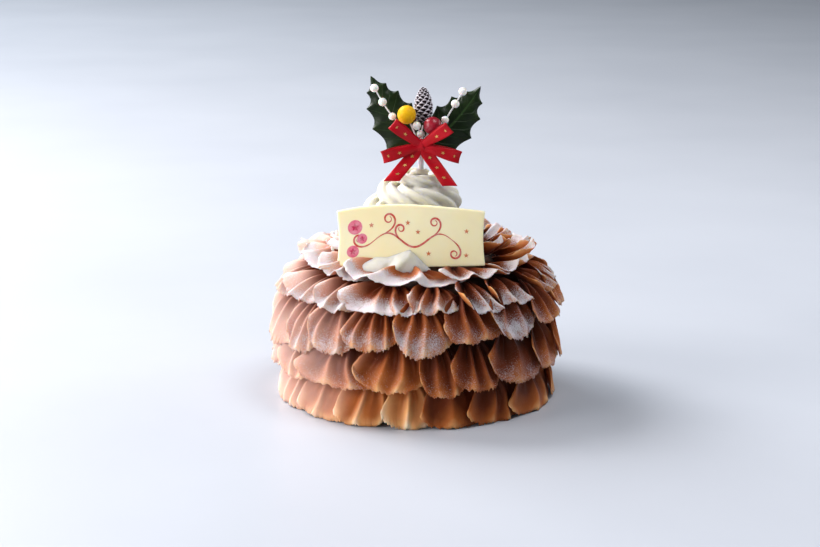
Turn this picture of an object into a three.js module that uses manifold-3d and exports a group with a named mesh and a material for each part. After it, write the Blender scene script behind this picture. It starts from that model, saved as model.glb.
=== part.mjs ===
// A round Christmas cake: a solid cake hidden under six rows of gathered chocolate fans, a piped
// swirl of whipped cream on top, a white-chocolate plaque leaning on the cream, and a holly pick
// with a ribbon bow, two balls, a pine cone and beads on wires.
// Millimetres, +Z up, the origin at the centre of the flat base, the plaque facing -Y.
// Azimuths are degrees round the cake, 0 at the front (-Y) and 90 at the right (+X).
import * as THREE from "three";
import { mergeVertices } from "three/addons/utils/BufferGeometryUtils.js";
import Module from "manifold-3d";

const wasm = await Module();
wasm.setup();

// Finishes

const SPONGE = { color: 0x5a3320, roughness: 0.9 };
const CHOCOLATE = { color: 0xb98a66, roughness: 0.55 };
const CREAM = { color: 0xf7f1e3, roughness: 0.6 };
const WHITE_CHOCOLATE = { color: 0xf1e3b4, roughness: 0.45 };
const PLASTIC = { color: 0xf2f2f2, roughness: 0.35 };
const HOLLY = { color: 0x1c3a20, roughness: 0.5 };
const BARK = { color: 0x4a3630, roughness: 0.8 };
const YELLOW_SATIN = { color: 0xf0b41e, roughness: 0.4 };
const RED_GLOSS = { color: 0xa3122c, roughness: 0.25 };
const PEARL = { color: 0xf6f2ea, roughness: 0.25 };
const SATIN = { color: 0xc0122c, roughness: 0.45 };
const WIRE_WHITE = { color: 0xe6e6e4, roughness: 0.4, metalness: 0.3 };

// Driving dimensions

const GAP = 0.3; // clearance between pieces that touch
const BODY = {
  radius: 59,
  height: 62, // of the rim, under the raised crown
  shoulder: 14, // radius of the rounded rim
  crown: [36, 69.4], // radius and height of the crown under the cream
  columns: 24,
  steps: 4, // round the shoulder
};
const FAN = {
  thickness: 1.3,
  steps: 6, // ridges and valleys across a fan
  standoff: 1.2, // from the cake to the middle of a pinch
  seam: 1, // degrees between neighbouring fans
  gather: 0.7, // width at the pinch, as a share of the width at the free edge
  shingle: 0.9, // how far the left edge stands out over the fan beside it
  uneven: 0.05, // how much shorter some fans are
};

// One entry for each row of fans, from the base up. pinch and edge are where the fans are pressed to
// the cake and where their free edge hangs: radius, height, and how much higher the right side sits.
// bulge places the bend between the two. joins are the joins between the fans at the front; fans of
// one width fill the rest of the arc.
const ROWS = [
  {
    pinch: [60.2, 27, 0],
    edge: [68.4, 0.8, 0],
    bulge: [0.55, 0.35],
    pleat: 1.5,
    scallop: 0.06,
    fans: 18,
    joins: [-46, -27, -12, 4, 25, 44, 73],
  },
  {
    pinch: [60.2, 44, 0],
    edge: [73.2, 15.8, -1],
    bulge: [0.55, 0.38],
    pleat: 1.7,
    scallop: 0.18,
    fans: 19,
    joins: [-60, -41, -19, 1, 16, 33, 54],
  },
  {
    pinch: [60.2, 56, 3.5],
    edge: [73.8, 35.5, 6.5],
    bulge: [0.56, 0.36],
    pleat: 1.8,
    scallop: 0.2,
    fans: 19,
    joins: [-78, -54, -41, -25, -7, 11, 32],
  },
  {
    pinch: [52, 64, 0],
    edge: [68.5, 55.8, 2],
    bulge: [0.5, 0.35],
    pleat: 2,
    scallop: 0.2,
    fans: 18,
    joins: [-64, -41, -26, 0, 18, 35],
  },
  {
    pinch: [38, 71, 0],
    edge: [60.5, 67.4, 2],
    bulge: [0.5, 0.35],
    pleat: 2.2,
    scallop: 0.2,
    fans: 17,
    joins: [-54, -36, -21, -3, 17, 37],
  },
  {
    pinch: [35.2, 74.6, 0],
    edge: [50.5, 76, 1],
    bulge: [0.5, 0.4],
    pleat: 2.2,
    scallop: 0.2,
    fans: 11,
    arc: [62, 298],
  },
];

const PLAQUE = {
  width: 69.8,
  thickness: 2.4,
  centreX: -2.8,
  foot: [-38, 72.4], // Y and Z of the middle of the lower edge
  top: 98.2, // height of the upper corners
  arch: 3, // rise of the upper edge in the middle
  skew: 0.3, // share by which the left half rises more
  waist: 1, // how far the short sides curve in
  bend: 2.5, // how far the middle stands forward of the ends
  lean: 7, // how far the upper edge stands behind the lower one
  columns: 10,
  rows: 2,
};

// The swirl's outline from its foot up: height, radius, depth of the piped ridges, and how much
// higher the left side of that turn lies.
const SWIRL = [
  [BODY.crown[1] + GAP, 33.2, 0, 0],
  [76, 33.2, 0, 0],
  [83, 32, 0.05, 0.6],
  [91, 28.4, 0.08, 1],
  [94, 23.6, 0.08, 1.2],
  [99, 22.6, 0.1, 1.6],
  [104, 19.8, 0.12, 1.8],
  [106.6, 14.6, 0.12, 1.6],
  [110, 10.6, 0.12, 1],
  [114, 5.4, 0.1, 0],
];
const SWIRL_TOP = 117;
const SWIRL_RIDGES = 7;
const SWIRL_TURN = 26; // degrees that the ridges wind from one ring to the next

// The dab of cream in front of the plaque
const DAB = {
  centre: [-8, -43.6, 72.6],
  half: [20, 4.6, 7.6], // half its length and depth, and its height
  crest: 3, // how far right of its middle it is highest
  wobble: 0.06,
  columns: 15,
  tilts: [0, 10, 35, 62], // degrees up to each ring of the dome
};

const STEM = {
  x: 2,
  radius: 1.5,
  foot: 98,
  neck: 120.5, // where the taper to the binding starts
  taper: 1.5, // height of the taper
  binding: 2.5, // radius of the binding
  seats: 1.9, // radius of the ring of wire feet on the binding
  top: 128,
  columns: 12,
};
const WIRE = { radius: 0.35, columns: 6 };
const RIBBON = {
  width: 6,
  thickness: 0.5,
  depth: 2.6, // half the space inside a loop
  root: 0.5, // half that space at the knot
  steps: 8,
  fullness: 0.8, // below 1 a loop is rounder at its end
  droop: 1.3, // above 1 a tail hangs in a hollow curve
};
const KNOT = { centre: [2.2, -5.2, 125.8], half: [3.2, 2.2, 3.4], columns: 8, rows: 6 };

// Ribbon arms: the X and Z of the far end, and how far it stands in front of the knot.
const LOOPS = [
  { end: [-16.9, 120.4], forward: 2.4 },
  { end: [21.4, 120.3], forward: 2.4 },
  { end: [-11.9, 137.6], forward: 5.4 },
  { end: [15.9, 136.6], forward: 12 },
];
const TAILS = [
  { end: [-12.4, 109.4], forward: 6.5 },
  { end: [16.2, 107.2], forward: 7.5 },
];

const LEAF = {
  thickness: 0.5,
  halfWidth: 10.9, // to the tips of the spines
  spines: 4, // on each margin
  notch: 0.74, // half width between the spines, as a share of that at a spine
  swept: 0.03, // how far a spine points forward, as a share of the leaf's length
  cup: 1.4, // how far the margins bend back
  wave: 0.9, // how far they wave to and fro
  stalk: 0.8, // half width at the foot
  point: 0.25, // and at the tip
  broad: 0.9, // below 1 the leaf is widest nearer its foot
  fullness: 0.7, // below 1 it is fuller towards both ends
  rows: 4,
};

// A leaf's midrib runs from the binding, through a bend, to the tip.
const LEAVES = [
  { name: "holly_leaf_left", foot: [0.6, 3.4, 122], bend: [-11, 6.6, 127], tip: [-22.8, 11, 158] },
  { name: "holly_leaf_right", foot: [3.4, 3.4, 122], bend: [14.5, 6.6, 125], tip: [31.8, 11, 152.7] },
];

const CONE = {
  x: 3.1,
  y: 2.4,
  foot: 135,
  top: 152.8,
  radius: 4.4,
  whorls: 7,
  scales: 6, // in a whorl
  between: 0.84, // radius between two scales, as a share of that at a scale's lip
  root: 0.72, // and at the foot of a scale
  rootRise: 0.3, // heights of a scale's foot and lip, as shares of a whorl
  lipRise: 0.85,
  tip: 0.6, // height of the bare tip, as a share of a whorl
  egg: [0.12, 0.95], // part of a half wave that outlines the cone from foot to top
  broad: 0.8, // below 1 the cone is widest nearer its foot
  fullness: 0.7, // below 1 it is fuller towards both ends
  seat: 90,
};

// Balls and beads. A seat is the direction of a wire's foot on the binding, in degrees from +X.
const BALL_GRID = [10, 8]; // columns and rows of a ball
const BEAD_GRID = [7, 5];
const BALLS = [
  { name: "yellow_ball", finish: YELLOW_SATIN, centre: [-4.9, -3, 140.8], radius: 4.6, seat: 200 },
  { name: "red_ball", finish: RED_GLOSS, centre: [7.8, -3.7, 135.4], radius: 4.5, seat: 340 },
];
const SPRAYS = [
  {
    side: "left",
    seat: 150,
    beads: [
      [-20.8, 3, 153.1, 2.1],
      [-16.8, 2.4, 146.3, 2.1],
      [-12, 1.6, 139.3, 1.9],
    ],
  },
  {
    side: "right",
    seat: 30,
    beads: [
      [22.7, 3, 151.4, 2.1],
      [19, 2.4, 145.4, 2.1],
      [14, 1.8, 137.5, 1.9],
    ],
  },
  {
    side: "centre",
    seat: 270,
    beads: [
      [0, -4.6, 135.6, 2.1],
      [2, -2.6, 131.2, 2],
    ],
  },
];

// Solids

// A share from 0 to 1 that is the same on every run for the same two whole numbers.
function vary(a, b) {
  const wave = Math.sin(a * 12.9898 + b * 78.233) * 43758.5453;
  return wave - Math.floor(wave);
}

const radians = THREE.MathUtils.degToRad;

// The point at a radius, azimuth and height.
function around(radius, azimuth, height) {
  const a = radians(azimuth);
  return [radius * Math.sin(a), -radius * Math.cos(a), height];
}

// An indexed geometry, turned inside out if its faces point inwards.
function facingOut(positions, index) {
  const corner = (k) => new THREE.Vector3().fromArray(positions, 3 * index[k]);
  let volume = 0;
  for (let k = 0; k < index.length; k += 3) volume += corner(k).dot(corner(k + 1).cross(corner(k + 2)));
  if (volume < 0) index.reverse();
  const geometry = new THREE.BufferGeometry();
  geometry.setAttribute("position", new THREE.Float32BufferAttribute(positions, 3));
  geometry.setIndex(index);
  return geometry;
}

// A thin closed solid between a front and a back face that are split into the same grid.
// point(i, j, side) gives its corners, with side 1 on the front and -1 on the back. A ring joins its
// last column to its first.
function slab(columns, rows, point, ring = false) {
  const across = ring ? columns : columns + 1;
  const positions = [];
  for (const side of [1, -1]) {
    for (let i = 0; i < across; i++) {
      for (let j = 0; j <= rows; j++) positions.push(...point(i, j, side));
    }
  }
  const at = (i, j, side) => ((side < 0 ? across : 0) + (i % across)) * (rows + 1) + j;
  const index = [];
  const quad = (a, b, c, d) => index.push(a, b, c, a, c, d);
  for (let i = 0; i < columns; i++) {
    for (let j = 0; j < rows; j++) {
      quad(at(i, j, 1), at(i + 1, j, 1), at(i + 1, j + 1, 1), at(i, j + 1, 1));
      quad(at(i, j, -1), at(i, j + 1, -1), at(i + 1, j + 1, -1), at(i + 1, j, -1));
    }
    quad(at(i, 0, 1), at(i, 0, -1), at(i + 1, 0, -1), at(i + 1, 0, 1));
    quad(at(i, rows, 1), at(i + 1, rows, 1), at(i + 1, rows, -1), at(i, rows, -1));
  }
  if (!ring) {
    for (let j = 0; j < rows; j++) {
      quad(at(0, j, 1), at(0, j + 1, 1), at(0, j + 1, -1), at(0, j, -1));
      quad(at(columns, j, 1), at(columns, j, -1), at(columns, j + 1, -1), at(columns, j + 1, 1));
    }
  }
  return facingOut(positions, index);
}

// A closed lump of rings stacked between two poles.
function lump(columns, rings, point, foot, top) {
  const positions = [];
  for (let j = 0; j < rings; j++) {
    for (let i = 0; i < columns; i++) positions.push(...point(i, j));
  }
  positions.push(...foot, ...top);
  const at = (i, j) => j * columns + (i % columns);
  const [footIndex, topIndex] = [columns * rings, columns * rings + 1];
  const index = [];
  for (let i = 0; i < columns; i++) {
    index.push(footIndex, at(i + 1, 0), at(i, 0), topIndex, at(i, rings - 1), at(i + 1, rings - 1));
    for (let j = 0; j < rings - 1; j++) {
      index.push(at(i, j), at(i + 1, j), at(i + 1, j + 1), at(i, j), at(i + 1, j + 1), at(i, j + 1));
    }
  }
  return facingOut(positions, index);
}

// A geometry as a solid for cutting and joining, and a solid back as a geometry.
function solid(geometry) {
  const bare = geometry.clone();
  bare.deleteAttribute("normal");
  bare.deleteAttribute("uv");
  const merged = mergeVertices(bare, 1e-4);
  const vertProperties = new Float32Array(merged.getAttribute("position").array);
  const triVerts = new Uint32Array(merged.index.array);
  return new wasm.Manifold(new wasm.Mesh({ numProp: 3, vertProperties, triVerts }));
}

function geometryOf(made) {
  const mesh = made.getMesh();
  return facingOut([...mesh.vertProperties], [...mesh.triVerts]);
}

// The biggest body of a solid, without the crumbs that a cut leaves.
function largest(made) {
  return made.decompose().sort((a, b) => b.volume() - a.volume())[0];
}

// A wire along a line of points.
function wire(points, radius, steps) {
  const path = new THREE.CatmullRomCurve3(points.map((p) => new THREE.Vector3(...p)));
  const circle = new THREE.Path().absarc(0, 0, radius, 0, 2 * Math.PI);
  const section = new THREE.Shape(circle.getPoints(WIRE.columns).slice(0, -1));
  return new THREE.ExtrudeGeometry(section, { steps, extrudePath: path });
}

function ball(centre, radius, grid) {
  return new THREE.SphereGeometry(radius, ...grid).translate(...centre);
}

const cake = new THREE.Group();
cake.name = "christmas_cake";

function add(name, geometry, finish) {
  const mesh = new THREE.Mesh(geometry, new THREE.MeshStandardMaterial(finish));
  mesh.name = name;
  cake.add(mesh);
}

// Cake body: a plain drum with a round shoulder and a raised crown under the cream

function bodyRadius(height) {
  const rise = Math.max(0, height - (BODY.height - BODY.shoulder));
  return BODY.radius - BODY.shoulder + Math.sqrt(Math.max(0, BODY.shoulder ** 2 - rise ** 2));
}

function cakeBody() {
  const outline = [new THREE.Vector2(0, 0), new THREE.Vector2(BODY.radius, 0)];
  for (let k = 0; k <= BODY.steps; k++) {
    const turn = (k / BODY.steps) * (Math.PI / 2);
    outline.push(
      new THREE.Vector2(
        BODY.radius - BODY.shoulder * (1 - Math.cos(turn)),
        BODY.height - BODY.shoulder * (1 - Math.sin(turn)),
      ),
    );
  }
  outline.push(new THREE.Vector2(...BODY.crown), new THREE.Vector2(0, BODY.crown[1]));
  return new THREE.LatheGeometry(outline, BODY.columns).rotateX(Math.PI / 2);
}

add("cake_body", cakeBody(), SPONGE);

// Chocolate fans: each row is a collar of pleated fans, pinched to the cake and overlapping to the left

// The azimuths where each fan of a row starts and ends.
function fanSpans(row) {
  const joins = row.joins ?? [row.arc[0]];
  const end = row.arc ? row.arc[1] : joins[0] + 360;
  const filled = row.fans - (joins.length - 1);
  const start = joins.at(-1);
  const marks = [...joins];
  for (let k = 1; k <= filled; k++) marks.push(start + ((end - start) * k) / filled);
  return marks.slice(1).map((to, k) => ({ from: marks[k], to }));
}

// Radius and height of a row's middle surface, v from 0 at the pinch to 1 at the free edge.
function fanProfile(row, azimuth, v) {
  const side = Math.sin(radians(azimuth));
  const pinchHeight = row.pinch[1] + row.pinch[2] * side;
  const onBody = pinchHeight < BODY.height ? bodyRadius(pinchHeight) + FAN.standoff : Infinity;
  const pinch = new THREE.Vector2(Math.min(row.pinch[0], onBody), pinchHeight);
  const edge = new THREE.Vector2(row.edge[0], row.edge[1] + row.edge[2] * side);
  const bend = new THREE.Vector2(
    THREE.MathUtils.lerp(pinch.x, edge.x, row.bulge[0]),
    THREE.MathUtils.lerp(pinch.y, edge.y, row.bulge[1]),
  );
  const curve = new THREE.QuadraticBezierCurve(pinch, bend, edge);
  const tangent = curve.getTangent(v);
  return { point: curve.getPoint(v), outward: new THREE.Vector2(-tangent.y, tangent.x) };
}

function fanRow(row, rowNumber) {
  const columns = [];
  fanSpans(row).forEach(({ from, to }, k) => {
    const reach = 1 - FAN.uneven * vary(rowNumber, k);
    for (let step = 0; step <= FAN.steps; step++) {
      const across = step / FAN.steps;
      const corner = Math.abs(2 * across - 1);
      columns.push({
        centre: (from + to) / 2,
        offset: (across - 0.5) * (to - from - FAN.seam),
        ridge: step % 2 === 0 ? 1 : -1,
        lift: 1 - 2 * across,
        reach: reach * (1 - row.scallop * corner ** 3),
      });
    }
  });
  const point = (i, j, side) => {
    const column = columns[i];
    const v = (j / 2) * column.reach;
    const azimuth = column.centre + column.offset * THREE.MathUtils.lerp(FAN.gather, 1, j / 2);
    const { point: middle, outward } = fanProfile(row, azimuth, v);
    const away = v * (row.pleat * column.ridge + FAN.shingle * column.lift) + (side * FAN.thickness) / 2;
    return around(middle.x + outward.x * away, azimuth, middle.y + outward.y * away);
  };
  const ring = !row.arc;
  return slab(ring ? columns.length : columns.length - 1, 2, point, ring);
}

ROWS.forEach((row, k) => add(`fan_row_${k + 1}`, fanRow(row, k + 1), CHOCOLATE));

// White-chocolate plaque: a bent plate with an arched upper edge, leaning back on the cream

// across runs from -1 to 1 along the plaque, up from 0 to 1, and out is the distance off its middle.
function plaquePoint(across, up, out, grow = 0) {
  const half = PLAQUE.width / 2 - PLAQUE.waist * (1 - (2 * up - 1) ** 2) + grow;
  const foot = PLAQUE.foot[1] - grow;
  const top = PLAQUE.top + PLAQUE.arch * (1 - across ** 2) * (1 - PLAQUE.skew * across) + grow;
  const height = THREE.MathUtils.lerp(foot, top, up);
  const leaned = (PLAQUE.lean * (height - foot)) / (PLAQUE.top - foot);
  const depth = PLAQUE.foot[0] + leaned + PLAQUE.bend * across ** 2 - out;
  return [PLAQUE.centreX + across * half, depth, height];
}

function plaque(grow = 0) {
  const { columns, rows } = PLAQUE;
  const out = PLAQUE.thickness / 2 + grow;
  const point = (i, j, side) => plaquePoint((2 * i) / columns - 1, j / rows, side * out, grow);
  return slab(columns, rows, point);
}

add("plaque", plaque(), WHITE_CHOCOLATE);

// Ribbon bow: four loops and two tails of one narrow ribbon, drawn together in a knot

// One arm as a band: course(t) gives how far along the arm and how far forward it runs, t from 0 to 1.
// A level arm is cut off level at its far end.
function ribbonArm(end, course, grow, level = false) {
  const [x, y, z] = KNOT.centre;
  const along = new THREE.Vector2(end[0] - x, end[1] - z);
  const reach = along.length();
  along.normalize();
  const slant = level ? -along.x / along.y : 0;
  const half = RIBBON.width / 2 + grow;
  const thick = RIBBON.thickness / 2 + grow;
  const place = (t) => {
    const [share, forward] = course(t);
    return new THREE.Vector2(share * reach, forward);
  };
  return slab(RIBBON.steps, 1, (i, j, side) => {
    const t = i / RIBBON.steps;
    const here = place(t);
    const tangent = place(Math.min(1, t + 0.01)).sub(place(Math.max(0, t - 0.01))).normalize();
    const out = here.clone().add(new THREE.Vector2(-tangent.y, tangent.x).multiplyScalar(side * thick));
    const aside = (2 * j - 1) * half;
    const run = out.x + slant * t * aside;
    return [x + along.x * run - along.y * aside, y - out.y, z + along.y * run + along.x * aside];
  });
}

function bow(grow = 0) {
  const halves = KNOT.half.map((half) => half + grow);
  const knot = new THREE.SphereGeometry(1, KNOT.columns, KNOT.rows).scale(...halves);
  let joined = solid(knot.translate(...KNOT.centre));
  for (const { end, forward } of LOOPS) {
    const course = (t) => {
      const out = Math.sin(Math.PI * t);
      const face = Math.cos(Math.PI * t) * (RIBBON.root + RIBBON.depth * Math.sqrt(out));
      return [out ** RIBBON.fullness, forward * out + face];
    };
    joined = joined.add(solid(ribbonArm(end, course, grow)));
  }
  for (const { end, forward } of TAILS) {
    const course = (t) => [t, RIBBON.root + forward * t ** RIBBON.droop];
    joined = joined.add(solid(ribbonArm(end, course, grow, true)));
  }
  return joined;
}

add("ribbon_bow", geometryOf(bow()), SATIN);

// Pick stem: a white plastic rod with a thicker binding where the wires come together

function stem(grow = 0) {
  const outline = [
    [0, STEM.foot - grow],
    [STEM.radius + grow, STEM.foot - grow],
    [STEM.radius + grow, STEM.neck],
    [STEM.binding + grow, STEM.neck + STEM.taper],
    [STEM.binding + grow, STEM.top + grow],
    [0, STEM.top + grow],
  ].map(([r, z]) => new THREE.Vector2(r, z));
  return new THREE.LatheGeometry(outline, STEM.columns).rotateX(Math.PI / 2).translate(STEM.x, 0, 0);
}

add("pick_stem", geometryOf(solid(stem()).subtract(bow(GAP))), PLASTIC);

// Whipped cream: a piped swirl in three turns, cut round the plaque, the pick and the ribbon's tails

function swirl() {
  const columns = 4 * SWIRL_RIDGES; // a crest, a hollow and two flanks for each ridge
  const point = (i, j) => {
    const [height, radius, depth, tilt] = SWIRL[j];
    const azimuth = (360 * i) / columns;
    const ridge = Math.cos(radians(SWIRL_RIDGES * (azimuth + SWIRL_TURN * j)));
    return around(radius * (1 + depth * ridge), azimuth, height - tilt * Math.sin(radians(azimuth)));
  };
  return lump(columns, SWIRL.length, point, [0, 0, SWIRL[0][0]], [STEM.x, 0, SWIRL_TOP]);
}

const cuts = [plaque(GAP), stem(GAP)].map(solid).concat(bow(GAP));
const creamSwirl = cuts.reduce((left, cut) => left.subtract(cut), solid(swirl()));
add("whipped_cream", geometryOf(largest(creamSwirl)), CREAM);

function creamDab() {
  const [x, y, z] = DAB.centre;
  const [length, depth, height] = DAB.half;
  const tilts = DAB.tilts.map(radians);
  const point = (i, j) => {
    const turn = (2 * Math.PI * i) / DAB.columns;
    const out = Math.cos(tilts[j]);
    const wobble = 1 + DAB.wobble * Math.sin(3 * turn + j);
    return [
      x + length * wobble * out * Math.cos(turn),
      y + depth * out * Math.sin(turn),
      z + height * Math.sin(tilts[j]),
    ];
  };
  return lump(DAB.columns, tilts.length, point, [x, y, z], [x + DAB.crest, y, z + height]);
}

add("cream_dab", geometryOf(largest(solid(creamDab()).subtract(solid(plaque(GAP))))), CREAM);

// Holly leaves: thin wavy blades with spines along both margins

function hollyLeaf({ foot, bend, tip }) {
  const midrib = new THREE.QuadraticBezierCurve3(...[foot, bend, tip].map((p) => new THREE.Vector3(...p)));
  const columns = 2 * LEAF.spines + 1;
  return slab(columns, LEAF.rows, (i, j, side) => {
    const share = i / columns;
    const spine = i % 2 === 1 && i < columns;
    const across = (2 * j) / LEAF.rows - 1;
    const along = midrib.getTangentAt(share);
    const aside = new THREE.Vector3(along.z, 0, -along.x).normalize();
    const front = new THREE.Vector3().crossVectors(aside, along);
    const swell = Math.sin(Math.PI * share ** LEAF.broad) ** LEAF.fullness;
    const blade = Math.max(LEAF.stalk, LEAF.halfWidth * swell * (spine ? 1 : LEAF.notch));
    const half = i === columns ? LEAF.point : blade;
    const lift = -LEAF.cup * across ** 2 + LEAF.wave * Math.abs(across) * (spine ? 1 : -1);
    return midrib
      .getPointAt(share)
      .addScaledVector(along, spine ? LEAF.swept * midrib.getLength() * Math.abs(across) : 0)
      .addScaledVector(aside, across * half)
      .addScaledVector(front, lift + (side * LEAF.thickness) / 2)
      .toArray();
  });
}

LEAVES.forEach((leaf) => add(leaf.name, hollyLeaf(leaf), HOLLY));

// Pine cone: whorls of scales that stand out from an egg-shaped core

function pineCone() {
  const columns = 2 * CONE.scales;
  const rings = 2 * CONE.whorls;
  const step = (CONE.top - CONE.foot) / (CONE.whorls + CONE.tip);
  const point = (i, j) => {
    const whorl = Math.floor(j / 2);
    const lip = j % 2 === 1;
    const height = CONE.foot + step * (whorl + (lip ? CONE.lipRise : CONE.rootRise));
    const share = (height - CONE.foot) / (CONE.top - CONE.foot);
    const wave = THREE.MathUtils.lerp(...CONE.egg, share ** CONE.broad);
    const egg = CONE.radius * Math.sin(Math.PI * wave) ** CONE.fullness;
    const rim = (i + whorl) % 2 === 0 ? 1 : CONE.between;
    const radius = egg * (lip ? rim : CONE.root);
    const turn = (2 * Math.PI * i) / columns;
    return [CONE.x + radius * Math.cos(turn), CONE.y + radius * Math.sin(turn), height];
  };
  return lump(columns, rings, point, [CONE.x, CONE.y, CONE.foot], [CONE.x, CONE.y, CONE.top]);
}

add("pine_cone", pineCone(), BARK);

// Balls and beads, each on a wire that runs up from its own seat on the binding

function seatPoint(turn) {
  const a = radians(turn);
  return [STEM.x + STEM.seats * Math.cos(a), STEM.seats * Math.sin(a), STEM.top + GAP];
}

// A straight wire from the binding to a little short of a piece's surface.
function stalk(seat, centre, radius) {
  const foot = new THREE.Vector3(...seatPoint(seat));
  const end = new THREE.Vector3(...centre);
  end.lerp(foot, (radius + GAP) / end.distanceTo(foot));
  return wire([foot.toArray(), end.toArray()], WIRE.radius, 1);
}

for (const { name, finish, centre, radius, seat } of BALLS) {
  add(name, ball(centre, radius, BALL_GRID), finish);
  add(`${name}_wire`, stalk(seat, centre, radius), WIRE_WHITE);
}
add("pine_cone_wire", stalk(CONE.seat, [CONE.x, CONE.y, CONE.foot], 0), WIRE_WHITE);

for (const { side, seat, beads } of SPRAYS) {
  const route = [...beads.map(([x, y, z]) => [x, y, z]), seatPoint(seat)];
  const steps = 2 * beads.length;
  add(`spray_wire_${side}`, wire(route, WIRE.radius, steps), WIRE_WHITE);
  const bore = solid(wire(route, WIRE.radius + GAP, steps));
  beads.forEach(([x, y, z, radius], k) => {
    const bead = solid(ball([x, y, z], radius, BEAD_GRID)).subtract(bore);
    add(`bead_${side}_${k + 1}`, geometryOf(bead), PEARL);
  });
}

export default cake;
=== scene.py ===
import math

import bmesh
import bpy
import numpy as np
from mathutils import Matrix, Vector


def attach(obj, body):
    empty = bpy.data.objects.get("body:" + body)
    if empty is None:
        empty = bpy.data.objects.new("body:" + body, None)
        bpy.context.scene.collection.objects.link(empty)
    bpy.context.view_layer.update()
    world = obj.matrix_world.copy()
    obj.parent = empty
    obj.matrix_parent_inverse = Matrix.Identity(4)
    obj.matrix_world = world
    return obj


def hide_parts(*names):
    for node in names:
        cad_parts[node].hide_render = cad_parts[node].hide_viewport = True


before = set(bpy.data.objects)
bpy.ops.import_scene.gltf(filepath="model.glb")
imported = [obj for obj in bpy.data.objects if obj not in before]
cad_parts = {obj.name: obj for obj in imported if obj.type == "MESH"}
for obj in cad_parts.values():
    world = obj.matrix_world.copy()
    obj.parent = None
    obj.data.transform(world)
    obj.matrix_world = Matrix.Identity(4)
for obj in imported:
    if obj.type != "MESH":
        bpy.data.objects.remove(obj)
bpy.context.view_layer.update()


# Cake body
# A solid round of dark sponge and filling under a thin coat of chocolate cream. The fans are
# pressed into that coat, so the body shows only as a dark ground in the gaps between them.

MM = 0.001


class Value:
    """A number that a node tree works out. Arithmetic on it adds Math nodes to that tree."""

    def __init__(self, tree, socket):
        self.tree = tree
        self.socket = socket

    def math(self, operation, *others, clamp=False):
        made = self.tree.nodes.new("ShaderNodeMath")
        made.operation = operation
        made.use_clamp = clamp
        for entry, value in zip(made.inputs, (self, *others)):
            feed(self.tree, entry, value)
        return Value(self.tree, made.outputs[0])

    def __add__(self, other):
        return self.math("ADD", other)

    def __sub__(self, other):
        return self.math("SUBTRACT", other)

    def __rsub__(self, other):
        return self.math("MULTIPLY_ADD", -1, other)

    def __mul__(self, other):
        return self.math("MULTIPLY", other)

    def __truediv__(self, other):
        return self.math("DIVIDE", other)

    def __pow__(self, other):
        return self.math("POWER", other)

    def sin(self):
        return self.math("SINE")

    def cos(self):
        return self.math("COSINE")

    def root(self):
        return self.math("SQRT")

    def size(self):
        return self.math("ABSOLUTE")

    def held(self):
        """The same number, held between 0 and 1."""
        return self.math("ADD", 0, clamp=True)

    __radd__ = __add__
    __rmul__ = __mul__


def feed(tree, entry, value):
    """Links an input to a socket, or sets it to a constant."""
    if isinstance(value, Value):
        value = value.socket
    if isinstance(value, bpy.types.NodeSocket):
        tree.links.new(value, entry)
    else:
        entry.default_value = value


def add_node(tree, kind, inputs=None, **settings):
    """A new node with its settings, and with its inputs linked or set."""
    made = tree.nodes.new(kind)
    for name, value in settings.items():
        setattr(made, name, value)
    for key, value in (inputs or {}).items():
        feed(tree, made.inputs[key], value)
    return made


def new_finish(name, **constants):
    """A material, its node tree and its shader, with constant sockets set on the shader itself."""
    material = bpy.data.materials.new(name)
    material.use_nodes = True
    shader = material.node_tree.nodes["Principled BSDF"]
    for socket, value in constants.items():
        shader.inputs[socket.replace("_", " ")].default_value = value
    return material, material.node_tree, shader


def object_point(tree):
    return add_node(tree, "ShaderNodeTexCoord").outputs["Object"]


def noise(tree, point, scale, detail=2.0, roughness=0.5):
    made = add_node(
        tree,
        "ShaderNodeTexNoise",
        {"Vector": point, "Scale": scale, "Detail": detail, "Roughness": roughness},
    )
    return Value(tree, made.outputs[0])


def ramp(tree, factor, stops):
    """A colour that runs through the stops, each a share from 0 to 1 and a colour."""
    made = add_node(tree, "ShaderNodeValToRGB", {"Fac": factor})
    elements = made.color_ramp.elements
    while len(elements) < len(stops):
        elements.new(1.0)
    for element, (share, colour) in zip(elements, stops):
        element.position = share
        element.color = (*colour, 1.0)
    return made.outputs["Color"]


def paint(tree, shader, factor, *stops):
    """Gives a shader the colour that runs through the stops."""
    feed(tree, shader.inputs["Base Color"], ramp(tree, factor, stops))


def bump(tree, shader, height, depth):
    made = add_node(tree, "ShaderNodeBump", {"Strength": 1.0, "Distance": depth, "Height": height})
    tree.links.new(made.outputs["Normal"], shader.inputs["Normal"])


def coat(piece, finish):
    """Gives a piece one finish all over."""
    piece.data.materials.clear()
    piece.data.materials.append(finish)


sponge, tree, shader = new_finish("Chocolate coat", Roughness=0.75, Specular_IOR_Level=0.3)
crumb = noise(tree, object_point(tree), scale=260.0, detail=6.0, roughness=0.6)
paint(tree, shader, crumb, (0.3, (0.03, 0.011, 0.006)), (0.75, (0.085, 0.034, 0.018)))
bump(tree, shader, crumb, depth=0.8 * MM)
coat(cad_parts["cake_body"], sponge)


# Chocolate fans
# Milk chocolate scraped off a cold slab in thin ruffled fans. Each is pinched together at one end and
# pressed to the cake, so the folds open towards a free edge that the scraper left finely torn.

FAN_COLUMNS = 96
FAN_ROWS = 20
FAN_SEED_STEP = 7.31
ROW_SEED_STEP = 10.0
FOLD_SHIFT = 0.14  # how far the folds of a fan crowd to one side
EXTRA_FOLDS = 1.1  # how many folds a fan may have more than its row says
NOTCH_DEPTH = 0.03  # depth of the wide tears in the edge, as a share of the fan's length
TOOTH_DEPTH = 0.075  # and of the fine ones
TEAR_LOSS = 0.03  # what the tearing took off the edge
FRINGE = 0.1  # depth of the tears along the two sides
EDGE_THINNING = 0.4  # how much thinner the sheet is at its edge
SUGAR_FADE = 7 * MM
WELD = 1e-6

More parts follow.
